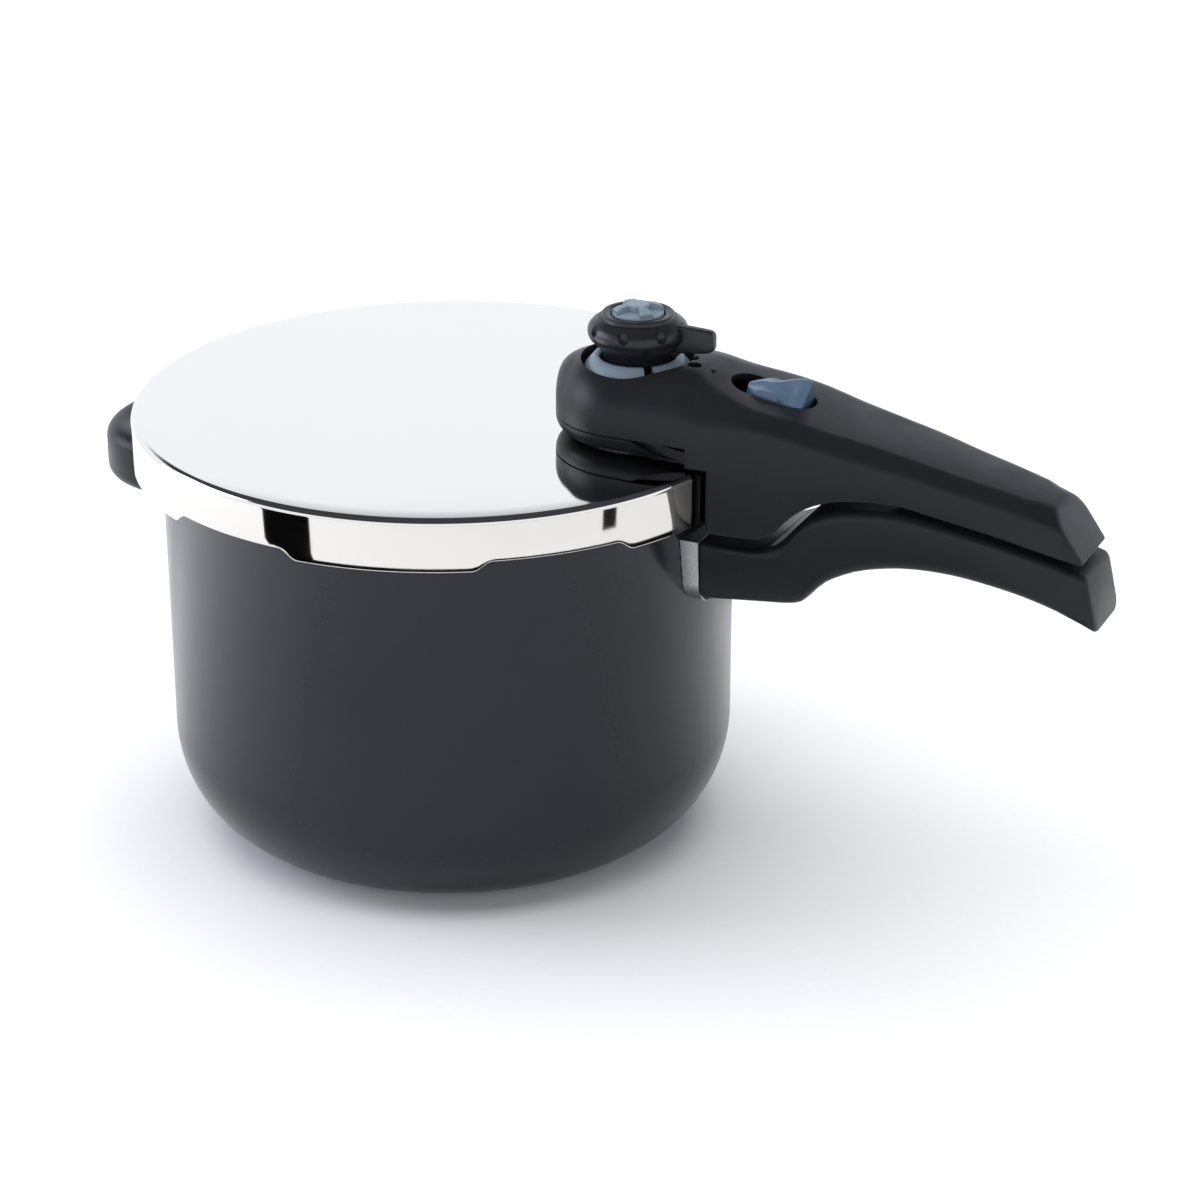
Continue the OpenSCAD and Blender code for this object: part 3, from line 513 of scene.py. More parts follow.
class CookerColours(bpy.types.PropertyGroup):
    """Colours of the cooker's finishes."""

    anodised: colour_setting("Anodised wall", "Sealed oxide of the pot", "#1a1c22")
    mirror: colour_setting("Mirror steel", "Polished sheet of the lid", "#dddad3")
    satin: colour_setting("Satin steel", "Brushed band of the flame guard", "#c9cacc")
    plated: colour_setting("Plated steel", "Screws, rivets and brackets", "#bcbec2")
    spring: colour_setting("Spring steel", "Drawn wire of the springs", "#9a9da2")
    brass: colour_setting("Brass", "Turned valve bodies and nuts", "#c8b272")
    phenolic: colour_setting("Phenolic", "Black handles and knob", "#18191c")
    blue: colour_setting("Blue-grey nylon", "Collar and cap", "#6c7b86")
    slate: colour_setting("Slate blue nylon", "Lock slider", "#465a70")
    red: colour_setting("Red nylon", "Pressure indicator's pin", "#a8342c")
    silicone: colour_setting("Silicone", "Gasket and seals", "#c8c4bb")


# ---------------------------------------------------------------- pot group
class COOKER_OT_pot(bpy.types.Operator):
    """Spins the pot's wall, adds the lugs round its rim and notches the one that the lock enters"""

    bl_idname = "cooker.pot"
    bl_label = "Pot body"

    def execute(self, context):
        foot_r, foot_h, floor = 35.0, 42.0, 5.0
        bead, lug_low, lug_tall = POT_R + WALL, LID_LOW.z + SHEET + 0.6, 5.0
        r = context.scene.cooker_sizes.rim_round / MM
        outline = ([(0, 0), (POT_R - foot_r - 12, 0)]
                   + oval(POT_R - foot_r, foot_h, foot_r, foot_h, -90, 0, 28)
                   + [(POT_R, lug_low - 5), (bead, lug_low - 0.6)]
                   + arc(bead - r, RIM - r, r, 0, 90, 5) + arc(POT_R - WALL + r, RIM - r, r, 90, 180, 5)
                   + oval(POT_R - foot_r, foot_h, foot_r - WALL, foot_h - floor, 0, -90, 28) + [(0, floor)])
        pot = lathe("pot_wall", outline, steps=WALL_STEPS)
        for i in range(LUG_COUNT):
            lug = lathe("lug", [(POT_R + 1, lug_low), (LUG_R, lug_low), (LUG_R, lug_low + lug_tall),
                                (POT_R + 1, lug_low + lug_tall)], steps=16,
                        start=LUG_AZIMUTH + i * LUG_PITCH - LUG_HALF, turn=2 * LUG_HALF)
            add(pot, round_edges(lug, 0.8, 2))
        notch = block("notch", (bead + 0.4, -4.1, lug_low - 1), (bead + 20, 4.1, lug_low + 6))
        cut(pot, notch)
        finish(pot, "pot", "anodised_pot", material("anodised"), "pot_body", angle=35)
        return {"FINISHED"}


def guard_outline(inset):
    """The pot handle's root, seen along the handle: flat on top and round below."""
    half, top, foot, corner = ROOT_W - inset, -30.6 - inset, -58.5 + inset, 11.0 - inset
    return ([(half, top)] + arc(half - corner - 2, foot + corner, corner, 0, -90, 12)
            + arc(corner + 2 - half, foot + corner, corner, -90, -180, 12) + [(-half, top)])


class COOKER_OT_flame_guard(bpy.types.Operator):
    """Bends the satin band that keeps flame off the pot handle's root"""

    bl_idname = "cooker.flame_guard"
    bl_label = "Flame guard"

    def execute(self, context):
        near, far = POT_R - 8, span("flame_guard")[1].x

        def ring(x, inset):
            return [(x, y, LID_EDGE + h) for y, h in guard_outline(inset)]

        band = loft("guard_band", [ring(near, 0), ring(far - 0.3, 0), ring(far, 0.3)])
        thick = 1.2
        cut(band, loft("inside", [ring(near - 2, thick), ring(far + 2, thick)]))
        cut(band, drill(0, 0, 0, LID_EDGE, POT_R + 0.15, WALL_STEPS))
        finish(band, "pot", "satin_steel", material("satin"), "flame_guard")
        return {"FINISHED"}


class COOKER_OT_pot_handle(bpy.types.Operator):
    """Lofts the pot's long handle from its root to its slanted end"""

    bl_idname = "cooker.pot_handle"
    bl_label = "Pot handle"

    def execute(self, context):
        end = context.scene.cooker_sizes.end_round / MM
        stations = ([-6, -5, 0, 8, 14, 18, 20, 22, 24, 26, 28, 30, 32, 34, 36, 38, 40, 43, 46, 50]
                    + list(range(54, 134, 4)))

        def crown(s):
            """The grip's back swells until it follows the upper handle, with a gap between the two."""
            gap = 2.4
            return max(0.0, height_at(UNDER, s) - height_at(LOW_TOP, s) - gap) * smooth((s - 15) / 7)

        top_round, low_round, root_inset = 2.4, 4.5, 0.7
        rings = [bar_ring((s, height_at(LOW_UNDER, s)), (s, height_at(LOW_TOP, s)), low_half(s), top_round,
                          low_round, root_inset if s == stations[0] else 0, crown(s)) for s in stations]
        for back, inset in end_rings(6, end):
            low = (LOW_L - back, height_at(LOW_UNDER, LOW_L - back))
            high = (LOW_TOP_END - back, height_at(LOW_TOP, LOW_TOP_END - back))
            rings.append(bar_ring(low, high, low_half(LOW_L - back), top_round, low_round, inset))
        handle = loft("lower_grip", rings)
        root = SKIRT - 6
        neck = loft("neck", [[(x, y, LID_EDGE + h) for y, h in guard_outline(1.5)]
                             for x in (POT_R - 6, root + 0.5)])
        cut(neck, drill(0, 0, 0, LID_EDGE, POT_R + 1.2, WALL_STEPS))
        bracket_low, bracket_high = span("handle_bracket")
        cut(neck, block("pocket", (POT_R - 9, bracket_low.y - 0.6, bracket_low.z - 0.6),
                        (POT_R + 3, bracket_high.y + 0.6, bracket_high.z + 0.6)))
        add(handle, neck)
        screw_x, arm_z = middle("pot_handle_screw")[0], middle("handle_bracket")[2]
        cut(handle, block("arm_slot", (POT_R, -4.6, arm_z - 2.1), (bracket_high.x + 0.3, 4.6, arm_z + 2.1)),
            drill(screw_x, 0, 0, arm_z + 5, 2.2), drill(screw_x, 0, 0, arm_z - 8, 4.6))
        finish(handle, "pot", "black_phenolic", material("phenolic"), "pot_handle")
        return {"FINISHED"}


class COOKER_OT_helper_handle(bpy.types.Operator):
    """Sweeps the helper handle's loop and joins it to its pad on the pot's wall"""

    bl_idname = "cooker.helper_handle"
    bl_label = "Helper handle"

    def execute(self, context):
        low, high = span("helper_handle")
        mid, half_tall, half_thick = (low.z + high.z) / 2, (high.z - low.z) / 2, 6.5
        reach, half_wide = -POT_R - low.x - half_thick + 1, high.y - half_thick
        corner = 5.6
        section = []
        for i, (u, v) in enumerate([(1, 1), (-1, 1), (-1, -1), (1, -1)]):
            section += arc(u * (half_thick - corner), v * (half_tall - corner), corner, 90 * i,
                           90 * i + 90, 6)
        rings = []
        for step in range(-30, 31):
            a = math.radians(step * 3)
            out, side = max(math.cos(a), 0.0) ** 0.8 * reach, math.sin(a) * half_wide
            aim = Vector((math.cos(a) * reach, math.sin(a) * half_wide)).normalized()
            if abs(step) > 28:
                aim = Vector((0, math.copysign(1, step)))
            rings.append([(-(POT_R - 1 + out + u * aim.x), side + u * aim.y, mid + v) for u, v in section])
        handle = loft("helper_loop", rings)
        pad_half = half_wide - 0.5
        pad = round_edges(block("pad", (-POT_R - 10, -pad_half, mid - half_tall + 0.6),
                                (-POT_R + 6, pad_half, mid + half_tall - 0.6)), 1.5)
        add(handle, pad)
        screw_x = span("helper_screw")[0].x
        hole = lathe("hole", [(0, -2), (2.2, -2), (2.2, 30), (0, 30)], steps=32)
        hole.data.transform(Matrix.Translation((screw_x * MM, 0, mid * MM))
                            @ Matrix.Rotation(math.pi / 2, 4, "Y"))
        cut(handle, drill(0, 0, mid - 40, mid + 40, POT_R + 1.5, WALL_STEPS),
            block("pocket", (-POT_R - 7.4, -17, mid - 9.3), (-POT_R + 7, 17, mid + 9.3)), hole)
        finish(handle, "pot", "black_phenolic", material("phenolic"), "helper_handle")
        return {"FINISHED"}


# ---------------------------------------------------------------- lid group
class COOKER_OT_lid(bpy.types.Operator):
    """Spins the mirror lid, steps its skirt between the tabs, folds the lips in and cuts its holes"""

    bl_idname = "cooker.lid"
    bl_label = "Lid shell"

    def execute(self, context):
        sizes = context.scene.cooker_sizes
        edge, low, inner = sizes.edge_radius / MM, LID_LOW.z, SKIRT - SHEET
        flat, drop_from, steps = 30, SKIRT - edge, 14
        dome = [(mix(flat, drop_from, i / steps), CROWN * (i / steps) ** 2) for i in range(1, steps)]
        corner = (SKIRT - edge, LID_EDGE - edge)
        outline = ([(0, LID_HIGH.z), (flat, LID_HIGH.z)] + [(r, LID_HIGH.z - d) for r, d in dome]
                   + arc(*corner, edge, 90, 0, 12)
                   + [(SKIRT, low + 4.5)] + arc(SKIRT - 0.9, low + 0.9, 0.9, 0, -90, 5)
                   + [(inner + 0.1, low), (inner, low + 0.1), (inner, low + SHEET), (inner, low + 4.5)]
                   + arc(*corner, edge - SHEET, 0, 90, 8)
                   + [(r, LID_HIGH.z - d - SHEET) for r, d in reversed(dome)]
                   + [(flat, LID_HIGH.z - SHEET), (0, LID_HIGH.z - SHEET)])
        lid = lathe("lid_sheet", outline, steps=720)
        half_step = math.degrees(sizes.step_width / MM / SKIRT) / 2

        def off_tab(point):
            """Degrees round the lid from the middle of the nearest tab."""
            turn = math.degrees(math.atan2(point.y, point.x)) - TAB_AZIMUTH
            return abs((turn + LUG_PITCH / 2) % LUG_PITCH - LUG_PITCH / 2)

        for vert in lid.data.vertices:
            height = vert.co.z / MM - low
            if height < 4.6:
                lift = smooth((off_tab(vert.co) - TAB_HALF + half_step) / (2 * half_step))
                vert.co.z += TAB_DROP * lift * (1 - 0.25 * smooth((height - 1.3) / 3.3)) * MM
        use(lid)
        bpy.ops.object.mode_set(mode="EDIT")
        bpy.ops.mesh.select_all(action="DESELECT")
        mesh = bmesh.from_edit_mesh(lid.data)
        for face in mesh.faces:
            spot = face.calc_center_median()
            face.select = (off_tab(spot) < LUG_HALF and low < spot.z / MM < low + SHEET
                           and abs(spot.xy.length / MM - inner) < 0.04)
        bmesh.update_edit_mesh(lid.data)
        bpy.ops.mesh.extrude_region_move()
        fold = (POT_R + WALL + 1) / inner
        bpy.ops.transform.resize(value=(fold, fold, 1), center_override=(0, 0, 0))
        bpy.ops.object.mode_set(mode="OBJECT")
        holes = [drill(KNOB_X, 0, RIM, LID_HIGH.z + 5, 6.1)]
        for name, radius in (("indicator_seal", 4.1), ("safety_nut", 5.1)):
            x, y, _ = middle(name)
            holes.append(drill(x, y, RIM, LID_HIGH.z + 5, radius))
        rivet_ring = 15
        for azimuth in (180, 75, -60):
            a = math.radians(azimuth)
            holes.append(drill(KNOB_X + rivet_ring * math.cos(a), rivet_ring * math.sin(a), RIM,
                               LID_HIGH.z + 5, 2.6))
        holes.append(block("tongue_window", (inner - 1, -TONGUE_HALF, TONGUE_LOW),
                           (SKIRT + 2, TONGUE_HALF, TONGUE_LOW + TONGUE_TALL)))
        cut(lid, *holes)
        finish(lid, "lid", "mirror_steel", material("mirror"), "lid_shell", angle=28)
        return {"FINISHED"}


def plan(inset, end):
    """The head and grip seen from above, drawn in by an inset, as far as one distance from the skirt."""
    side = [(s, head_half(s) - inset) for s in (TAPER_FROM, end)]
    return arc(-KNOB_BACK, 0, HEAD_R - inset, 270, 90, 40) + side + [(s, -w) for s, w in reversed(side)]


def plan_ring(inset, end, height):
    """That outline at a height above the lid's edge."""
    return [(SKIRT + s, y, LID_EDGE + height) for s, y in plan(inset, end)]


class COOKER_OT_handle_base(bpy.types.Operator):
    """Lofts the tray under the head with its round lower edge, the apron and the long bottom plate"""

    bl_idname = "cooker.handle_base"
    bl_label = "Handle base"

    def execute(self, context):
        top = SEAM - context.scene.cooker_sizes.seam_gap / MM
        bottom = [(8, BASE_FLOOR - 1.2), (5.2, 1.7), (3.2, 2.4), (1.8, 3.5), (0.8, 4.9), (0.2, 6.4), (0, 7.8)]
        tray = loft("base_tray", [plan_ring(i, 6, h) for i, h in bottom + [(0, top - 0.3), (0.3, top)]])
        hollow = loft("hollow", [plan_ring(8.5, 5, 4.4), plan_ring(4.4, 5, 6.4), plan_ring(2.8, 5, 30)])
        cut(tray, hollow)
        core, side, up = 27.6, 60, 60
        slope = [(-32, SEAM), (-23, 4.6), (-16, 2.9), (-9.4, 2.0), (-9.4, 1.6), (30, 1.6), (30, up),
                 (-32, up)]
        for y in (-side, core):
            ramp = [(SKIRT + s, y, LID_EDGE + h) for s, h in slope]
            cut(tray, prism("ramp", ramp, (0, side - core, 0)))
        slope = [(-32, SEAM), (-9, 6.0), (30, 6.0), (30, up), (-32, up)]
        cut(tray, prism("ramp", [(SKIRT + s, -core, LID_EDGE + h) for s, h in slope], (0, 2 * core, 0)))
        combine(tray, [drill(0, 0, 0, 300, APRON_OUT - 0.6, WALL_STEPS)], "INTERSECT")
        apron = lathe("apron", [(APRON_IN, APRON_LOW), (APRON_OUT, APRON_LOW), (APRON_OUT, APRON_HIGH),
                                (APRON_IN, APRON_HIGH)], steps=48, start=-12.8, turn=25.6)
        plate_line = [(s, height_at(UNDER, s)) for s in [-9, 0, 10] + list(range(18, 136, 3))]
        section = ((-1, 0.4), (1, 0.4), (1, 2.6), (-1, 2.6))
        plate = loft("plate", [[(SKIRT + s, y * (head_half(s) - 2.8), LID_EDGE + h + z) for y, z in section]
                               for s, h in plate_line])
        cut(plate, drill(0, 0, 0, 300, APRON_IN + 0.8, WALL_STEPS))
        add(tray, apron, plate)
        tools = [block("tongue_window", (SKIRT, -TONGUE_HALF, TONGUE_LOW),
                       (SKIRT + 10, TONGUE_HALF, TONGUE_LOW + TONGUE_TALL)),
                 drill(KNOB_X, 0, LID_EDGE, 300, 10.5)]
        for name, grow in (("indicator_seal", 0.6), ("safety_nut", 0.4)):
            low, high = span(name)
            x, y, _ = middle(name)
            tools.append(drill(x, y, LID_EDGE, 300, (high.y - low.y) / 2 + grow))
        for y in (-18, 18):
            tools.append(drill(KNOB_X - 6, y, LID_EDGE, 300, 3.6))
        for s, y in ((14, 17), (14, -17), (GRIP_L - 30, 0)):
            tools.append(drill(SKIRT + s, y, 0, LID_EDGE + height_at(UNDER, s) + 4, 3.3))
        cut(tray, *tools)
        finish(tray, "lid", "black_phenolic", material("phenolic"), "handle_base")
        return {"FINISHED"}


def upper_rings(inset, shoulder, head_round, end):
    """Rings round the upper handle, from the tip of its round head to its slanted end.

    An inset gives the rings of its hollow, which run on below the handle and stop short of its end."""
    low_round = 1.2
    below = 20 if inset else 0
    deep = UNDER[0][1] - below
    rings = []
    for a in list(range(4, 90, 5)) + [90]:
        turn = math.radians(a)
        s = -KNOB_BACK - (HEAD_R - inset) * math.cos(turn)
        top = HEAD_H - HEAD_DROP * (1 - math.sin(turn)) ** 1.5
        rings.append(bar_ring((s, deep), (s, top - inset), (HEAD_R - inset) * math.sin(turn),
                              head_round - inset, low_round))
    stations = [-36, -30, -25, -21, -18, -15, -12, -9, -6, -3, 0, 4, 8, 12, 16, 19, 21, 23, 25, 27, 29, 31,
                33, 35, 37, 40, 43, 47] + list(range(52, 122, 5))
    for s in stations:
        low = height_at(UNDER, s) - below
        rings.append(bar_ring((s, low), (s, height_at(CREST, s) - inset), head_half(s) - inset,
                              mix(head_round - inset, shoulder, smooth((s + 16) / 34)), low_round))
    short = inset * 1.6
    for back, draw in end_rings(8, end)[:1 if inset else None]:
        low_s, top_s = GRIP_L - back * 1.3 - short, CREST_END - back * 0.75 - short
        low = (low_s, height_at(UNDER, low_s) - below)
        high = (top_s, height_at(CREST, top_s) - inset)
        rings.append(bar_ring(low, high, head_half(low_s) - inset, shoulder, low_round, draw))
    return rings


def on_slope(points):
    """Points laid out on the handle's sloping top, round the middle of the slider's slot."""
    turn = Matrix.Rotation(math.radians(SLOPE), 3, "Y")
    foot = Vector((SKIRT + SLOT_MID, 0, LID_EDGE + height_at(CREST, SLOT_MID)))
    return [foot + turn @ Vector(p) for p in points]


class COOKER_OT_handle_shell(bpy.types.Operator):
    """Lofts the upper handle, hollows it, and cuts the knob's recess, the holes and the slider's slot"""

    bl_idname = "cooker.handle_shell"
    bl_label = "Handle shell"

    def execute(self, context):
        sizes = context.scene.cooker_sizes
        shoulder, head_round, end = sizes.shoulder / MM, sizes.head_round / MM, sizes.end_round / MM
        shell = loft("upper_grip", upper_rings(0, shoulder, head_round, end))
        hollow = loft("hollow", upper_rings(SHELL_WALL, shoulder - 2, head_round, end))
        boss = drill(KNOB_X, 0, LID_EDGE + RECESS_H - 2.4, LID_EDGE + 60, RECESS_R + 2.2, steps=96)
        cut(hollow, boss)
        cut(shell, hollow)
        low = LID_EDGE + SEAM
        cut(shell, block("below_seam", (KNOB_X - 40, -40, LID_EDGE - 40), (SKIRT - 9, 40, low)))
        cut(shell, drill(0, 0, LID_EDGE - 40, LID_EDGE + 1.5, APRON_OUT + 0.1, WALL_STEPS))
        floor, rim = LID_EDGE + RECESS_H, LID_EDGE + HEAD_H
        well = [(0, floor), (RECESS_R, floor), (RECESS_R, rim - 1), (RECESS_R + 0.9, rim + 0.1),
                (RECESS_R + 0.9, rim + 20), (0, rim + 20)]
        cut(shell, lathe("recess", well, KNOB_X, 0, 128), drill(KNOB_X, 0, LID_EDGE + 10, rim + 20, 8.5))
        for x, y in (INDICATOR, SECOND_HOLE):
            cut(shell, drill(x, y, LID_EDGE + 12, rim + 20, 2.8, 40))
        straight = SLOT_L / 2 - SLOT_W
        slot = arc(straight, 0, SLOT_W, -90, 90, 20) + arc(-straight, 0, SLOT_W, 90, 270, 20)
        cut(shell, loft("slot", [on_slope([(x, y, z) for x, y in slot]) for z in (-9, 9)]))
        dash = block("dash", (SKIRT - 12.4, -3.4, rim - 3), (SKIRT - 8.8, -2.7, rim - 1.1))
        add(shell, dash)
        finish(shell, "lid", "black_phenolic", material("phenolic"), "handle_shell")
        return {"FINISHED"}


# ---------------------------------------------------------------- control knob and slider
class COOKER_OT_knob(bpy.types.Operator):
    """Spins the control knob, presses finger dimples round it and adds its pointer"""

    bl_idname = "cooker.knob"
    bl_label = "Control knob"

    def execute(self, context):
        count = context.scene.cooker_sizes.dimples
        h = LID_EDGE + HEAD_H
        outline = ([(8.05, h - 8), (12.3, h - 8), (12.6, h - 7.6), (12.8, h - 0.8), (13.3, h + 0.5),
                    (15.1, h + 2.9)] + arc(14.3, h + 8.9, 4.7, -44, 56, 16)
                   + [(15.4, h + 13.9), (14.6, h + 14.3), (14.1, h + 14.2), (13.9, h + 14.6),
                      (13.8, h + 15.5), (13.4, h + 15.9), (11.0, h + 16.0), (10.4, h + 15.6),
                      (10.1, h + 15.0), (10.1, h + 10.4), (0, h + 10.4), (0, h + 7.1), (6.5, h + 7.1),
                      (6.5, h - 2.6), (8.05, h - 2.6)])
        knob = lathe("knob_grip", outline, KNOB_X, 0, 192)
        first, ring = 7.5, 18.7
        for i in range(count):
            a = math.radians(i * 360 / count + first)
            bpy.ops.mesh.primitive_uv_sphere_add(segments=32, ring_count=20, radius=MM)
            dimple = bpy.context.object
            spot = Vector((KNOB_X + ring * math.cos(a), ring * math.sin(a), h + 12.0)) * MM
            dimple.data.transform(Matrix.Translation(spot) @ Matrix.Diagonal((2.3, 2.3, 3.2, 1)))
            cut(knob, dimple)
        blade = [(12, 2.8), (18, 2.6), (24, 3.2), (28.5, 3.9), (30.6, 4.6), (31.5, 5.8), (31.5, 10.4),
                 (31.2, 11.6), (30.2, 12.4), (28.6, 12.7), (20, 13.1), (12, 13.2)]
        brace = [(11, 0.4), (15.6, 0.4), (18.2, 2.4), (18.8, 6), (11, 6)]
        pointer = prism("pointer", [(KNOB_X + x, 2.0, h + z) for x, z in blade], (0, -4.0, 0))
        rib = prism("rib", [(KNOB_X + x, 1.4, h + z) for x, z in brace], (0, -2.8, 0))
        add(knob, round_edges(pointer, 0.7, 3), round_edges(rib, 0.4, 2))
        finish(knob, "knob", "black_phenolic", material("phenolic_gloss"), "regulator_knob", angle=38)
        return {"FINISHED"}


class COOKER_OT_knob_cap(bpy.types.Operator):
    """Spins the knob's blue-grey cap and adds its boss and four flared arms"""

    bl_idname = "cooker.knob_cap"
    bl_label = "Knob cap"

    def execute(self, context):
        z = LID_EDGE + HEAD_H + 10.4
        outline = [(0, z), (9.8, z), (9.8, z + 5.3), (9.5, z + 5.8), (8.4, z + 6.1), (6.4, z + 6.3),
                   (4.6, z + 6.5), (4.4, z + 8.5), (4.0, z + 8.9), (0, z + 9.0)]
        cap = lathe("cap_disc", outline, KNOB_X, 0, 128)
        for i in range(4):
            turn = Matrix.Rotation(math.radians(90 * i + 45), 3, "Z")
            arm = []
            for r, half, top in ((3.0, 1.2, 8.9), (5.0, 1.4, 8.8), (7.4, 2.0, 8.3), (9.3, 2.5, 7.2)):
                spots = [(r, -half - 0.5, 5.0), (r, half + 0.5, 5.0), (r, half, top - 0.3),
                         (r, half - 0.4, top), (r, 0.4 - half, top), (r, -half, top - 0.3)]
                arm.append([turn @ Vector(p) + Vector((KNOB_X, 0, z)) for p in spots])
            add(cap, loft("arm", arm))
        finish(cap, "knob", "blue_grey_nylon", material("blue"), "knob_cap")
        return {"FINISHED"}


class COOKER_OT_collar(bpy.types.Operator):
    """Spins the bevelled ring under the knob and cuts its notch"""

    bl_idname = "cooker.collar"
    bl_label = "Collar ring"

    def execute(self, context):
        z = LID_EDGE + RECESS_H
        outline = [(14.4, z), (20, z), (20, z + 4.0), (19.7, z + 4.7), (16.6, z + 8.1), (15.9, z + 8.3),
                   (15.1, z + 8.2), (14.4, z + 7.4)]
        ring = lathe("collar_ring_fine", outline, KNOB_X, 0, 160)
        notch = block("notch", (0, -1.8, z - 1), (30, 1.8, z + 20))
        notch.data.transform(Matrix.Translation((KNOB_X * MM, 0, 0))
                             @ Matrix.Rotation(math.radians(-52), 4, "Z"))
        cut(ring, notch)
        finish(ring, "lid", "blue_grey_nylon", material("blue"), "collar_ring")
        return {"FINISHED"}


class COOKER_OT_slider(bpy.types.Operator):
    """Lofts the lock slider: a round finger pad whose ridge climbs to a fin"""

    bl_idname = "cooker.slider"
    bl_label = "Lock slider"

    def execute(self, context):
        long, half_wide, shift, steps = 24.0, 7.6, 1.9, 24
        sweep = math.pi * 0.92
        rings = []
        for i in range(steps + 1):
            x = -long / 2 + long * (1 - math.cos(sweep * i / steps)) / (1 - math.cos(sweep))
            near = min(1.0, (x + long / 2) / half_wide)
            half = max(0.5, half_wide * math.sqrt(max(0.0, 1 - (1 - near) ** 2)))
            rim = mix(0.2, 2.7, smooth(near * 0.8)) - 1.8 * smooth((x - 1) / 6)
            crest = mix(0.6, 3.0, smooth((x + 12) / 6)) + 6.6 * smooth((x + 7) / 18)
            bend = mix(5.0, 1.5, smooth((x - 1) / 8))
            flank = [(half * (1 - 0.9 * u), rim + (crest - rim) * u ** bend)
                     for u in (0.06, 0.2, 0.35, 0.5, 0.65, 0.8, 0.9, 1)]
            side = [(half, -2.6), (half, rim - 0.5)] + flank
            loop = side + [(-y, z) for y, z in reversed(side)]
            rings.append(on_slope([(x + shift, y, z) for y, z in loop]))
        slider = loft("slider_pad", rings)
        finish(slider, "lock", "blue_grey_nylon", material("slate"), "lock_slider", angle=40)
        return {"FINISHED"}


# ---------------------------------------------------------------- small fittings and the stage
FITTINGS = {
    "plated": ("handle_bracket", "bracket_rivets", "pot_handle_screw", "helper_bracket", "helper_rivets",
               "helper_screw", "lid_bracket", "lid_rivets", "base_screws", "shell_screws", "vent_screen",
               "indicator_clip", "valve_plunger", "safety_plunger", "lock_bar", "lock_screw"),
    "brass": ("valve_body", "valve_nut", "safety_body", "safety_nut", "safety_cap"),
    "silicone": ("lid_gasket", "valve_washer", "indicator_seal"),
    "red": ("indicator_pin",),
}


class COOKER_OT_fittings(bpy.types.Operator):
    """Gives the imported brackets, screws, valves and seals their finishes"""

    bl_idname = "cooker.fittings"
    bl_label = "Small fittings"

    def execute(self, context):
        for key, names in FITTINGS.items():
            for name in names:
                mesh = frame["nodes"][name].data
                mesh.materials.clear()
                mesh.materials.append(material(key))
        return {"FINISHED"}


class COOKER_OT_springs(bpy.types.Operator):
    """Winds the two valves' springs, so that each is pressed between its plunger and its seat"""

    bl_idname = "cooker.springs"
    bl_label = "Springs"

    def execute(self, context):
        for name, body, turns, wire in (("valve_spring", "plunger", 7, 0.45),
                                        ("safety_spring", "safety", 6, 0.4)):
            low, high = span(name)
            x, y, _ = middle(name)
            radius, tall = (high.x - low.x) / 2 - wire, high.z - low.z - 2 * wire
            rings = []
            for i in range(turns * 24 + 1):
                t = i / (turns * 24)
                a = t * turns * math.tau
                rise = (t - 0.06 * math.sin(math.tau * t)) * tall + wire
                rings.append([(x + (radius + wire * math.cos(b)) * math.cos(a),
                               y + (radius + wire * math.cos(b)) * math.sin(a),
                               low.z + rise + wire * math.sin(b))
                              for b in (math.tau * k / 10 for k in range(10))])
            spring = loft(name + "_coil", rings)
            finish(spring, None, "spring_steel", material("spring"), name)
            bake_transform(spring)
        return {"FINISHED"}


# The camera's place and aim in metres, and its lens in millimetres.
EYE, AIM, LENS = (0.5548, -1.0499, 0.6125), (-0.3863, 0.8286, -0.4052), 97.06

# Each light: a name, a place and a size in metres, its watts, its colour, and whether mirrors see it.
LIGHTS = (
    ("overhead", (-0.2, 0.3, 2.3), 3.4, 84, "#ffffff", False),
    ("left_window", (-1.5, -0.5, 0.75), 1.0, 14, "#e4ecff", True),
    ("front", (0.5, -2.0, 1.1), 1.2, 4, "#fff6ea", False),
)

# Black cards that stand round the pot, so that its polished steel has something dark to mirror. Each has
# a name, a radius, two heights, a first azimuth and a turn.
DARK_CARDS = (
    ("front_card", 239, 2, 86, -112, 205),
    ("skirt_card", 225, 92, 150, -113, 14),
    ("skirt_card_right", 225, 118, 134, -22, 4),
)


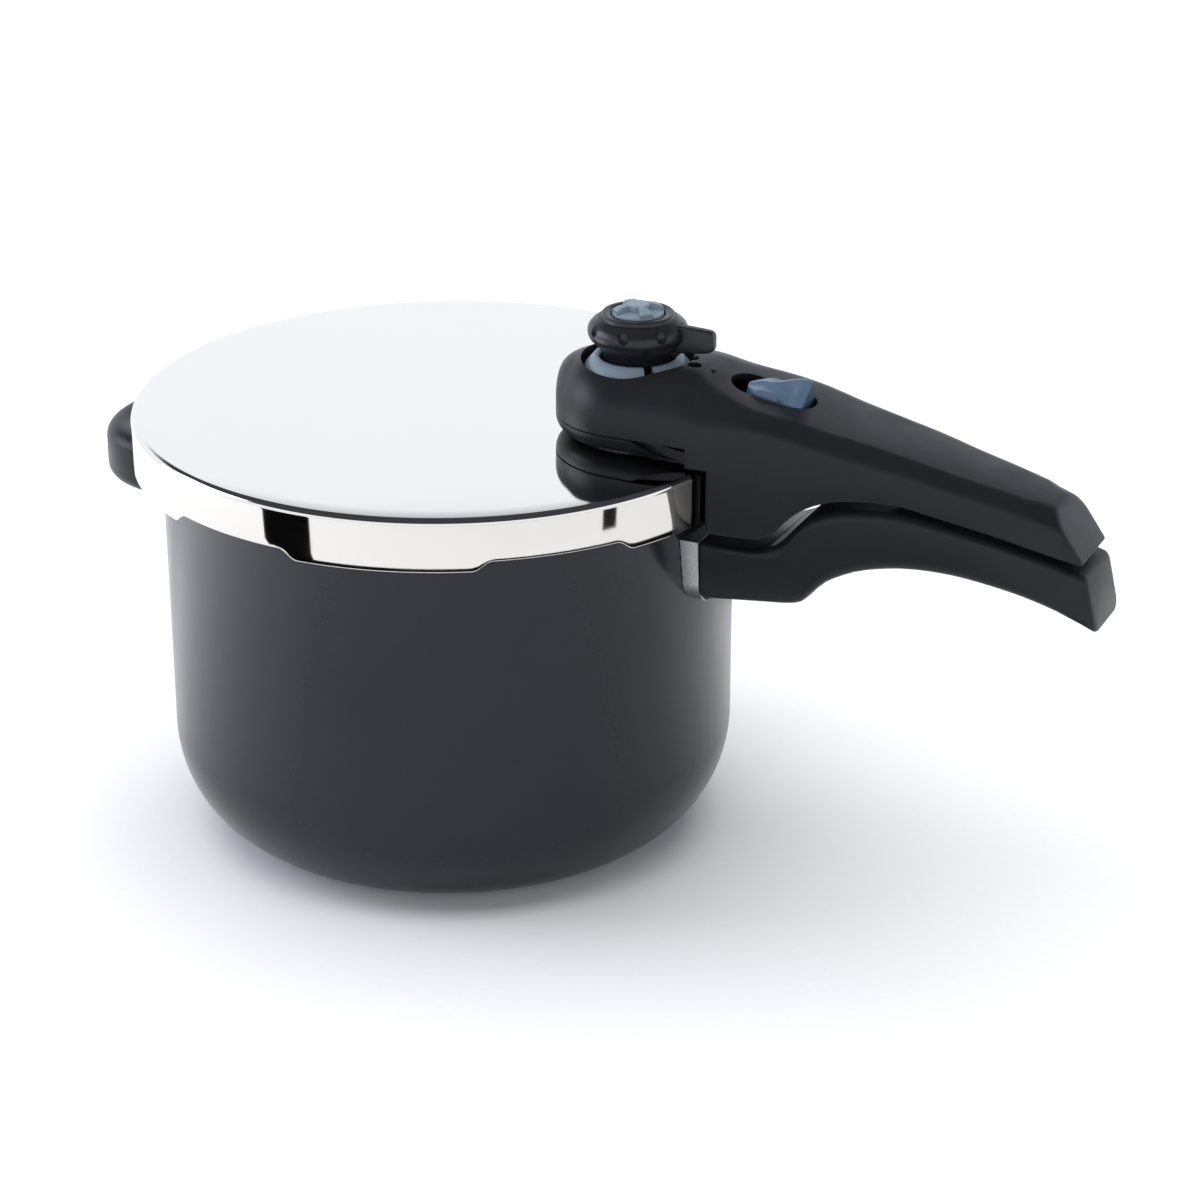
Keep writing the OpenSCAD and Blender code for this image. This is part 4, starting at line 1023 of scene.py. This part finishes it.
class COOKER_OT_stage(bpy.types.Operator):
    """Lays the pale floor and sets the soft lights, the black cards and the camera"""

    bl_idname = "cooker.stage"
    bl_label = "Stage"

    def execute(self, context):
        fresh()
        bpy.ops.mesh.primitive_plane_add(size=5)
        floor = bpy.context.object
        floor.name = "floor"
        pale, shader = surface("pale_card", linear("#f6f6f6"), linear("#fafafa"), 2)
        shader.inputs["Roughness"].default_value = 0.9
        floor.data.materials.append(pale)
        world = bpy.data.worlds.new("studio")
        world.use_nodes = True
        tree = world.node_tree
        ray = node(tree, "ShaderNodeTexCoord").outputs["Generated"]
        sky = node(tree, "ShaderNodeSeparateXYZ", [("Vector", ray)])
        band = node(tree, "ShaderNodeMapRange", [("Value", sky.outputs["Z"]), ("From Min", 0.41),
                                                 ("From Max", 0.52)])
        wash = node(tree, "ShaderNodeMix", [("Factor", band.outputs["Result"]), ("A", linear("#f1f5ff")),
                                            ("B", linear("#3a3c42"))], data_type="RGBA")
        tree.links.new(wash.outputs["Result"], tree.nodes["Background"].inputs["Color"])
        tree.nodes["Background"].inputs["Strength"].default_value = 1.36
        context.scene.world = world
        for name, place, size, power, text, mirrored in LIGHTS:
            light = bpy.data.lights.new(name, "AREA")
            light.size, light.energy, light.color = size, power, linear(text)[:3]
            lamp = bpy.data.objects.new(name, light)
            lamp.location = place
            lamp.visible_glossy = mirrored
            lamp.rotation_euler = (Vector((0, 0, 0.1)) - Vector(place)).to_track_quat("-Z", "Y").to_euler()
            context.scene.collection.objects.link(lamp)
        black, shader = surface("black_card", linear("#0a0a0b"), linear("#0e0e0f"), 3)
        shader.inputs["Roughness"].default_value = 1.0
        shader.inputs["Specular IOR Level"].default_value = 0.0
        for name, radius, low, high, start, turn in DARK_CARDS:
            card = lathe(name, [(radius, low), (radius + 2, low), (radius + 2, high), (radius, high)],
                         steps=64, start=start, turn=turn)
            card.data.materials.append(black)
            for sense in ("camera", "diffuse", "shadow", "transmission"):
                setattr(card, "visible_" + sense, False)
        lens = bpy.data.cameras.new("view")
        lens.lens, lens.sensor_width = LENS, 36
        camera = bpy.data.objects.new("view", lens)
        camera.location = EYE
        camera.rotation_euler = Vector(AIM).to_track_quat("-Z", "Y").to_euler()
        context.scene.collection.objects.link(camera)
        context.scene.camera = camera
        context.scene.view_settings.view_transform = "Standard"
        return {"FINISHED"}


class COOKER_PT_panel(bpy.types.Panel):
    """Lists the cooker's settings and the pieces that it can make"""

    bl_label = "Pressure Cooker"
    bl_space_type = "VIEW_3D"
    bl_region_type = "UI"
    bl_category = "Cooker"

    def draw(self, context):
        for group in (context.scene.cooker_sizes, context.scene.cooker_colours):
            box = self.layout.box()
            for name in group.__annotations__:
                box.prop(group, name)
        for operator in OPERATORS:
            self.layout.operator(operator.bl_idname)


OPERATORS = (COOKER_OT_stage, COOKER_OT_pot, COOKER_OT_flame_guard, COOKER_OT_pot_handle,
             COOKER_OT_helper_handle, COOKER_OT_lid, COOKER_OT_handle_base, COOKER_OT_handle_shell,
             COOKER_OT_knob, COOKER_OT_knob_cap, COOKER_OT_collar, COOKER_OT_slider, COOKER_OT_springs,
             COOKER_OT_fittings)
CLASSES = (CookerSizes, CookerColours, *OPERATORS, COOKER_PT_panel)


def register():
    for kind in CLASSES:
        bpy.utils.register_class(kind)
    bpy.types.Scene.cooker_sizes = bpy.props.PointerProperty(type=CookerSizes)
    bpy.types.Scene.cooker_colours = bpy.props.PointerProperty(type=CookerColours)


def unregister():
    del bpy.types.Scene.cooker_colours
    del bpy.types.Scene.cooker_sizes
    for kind in reversed(CLASSES):
        bpy.utils.unregister_class(kind)


def main():
    register()
    for operator in OPERATORS:
        getattr(bpy.ops.cooker, operator.bl_idname.split(".")[1])()


if __name__ == "__main__":
    main()
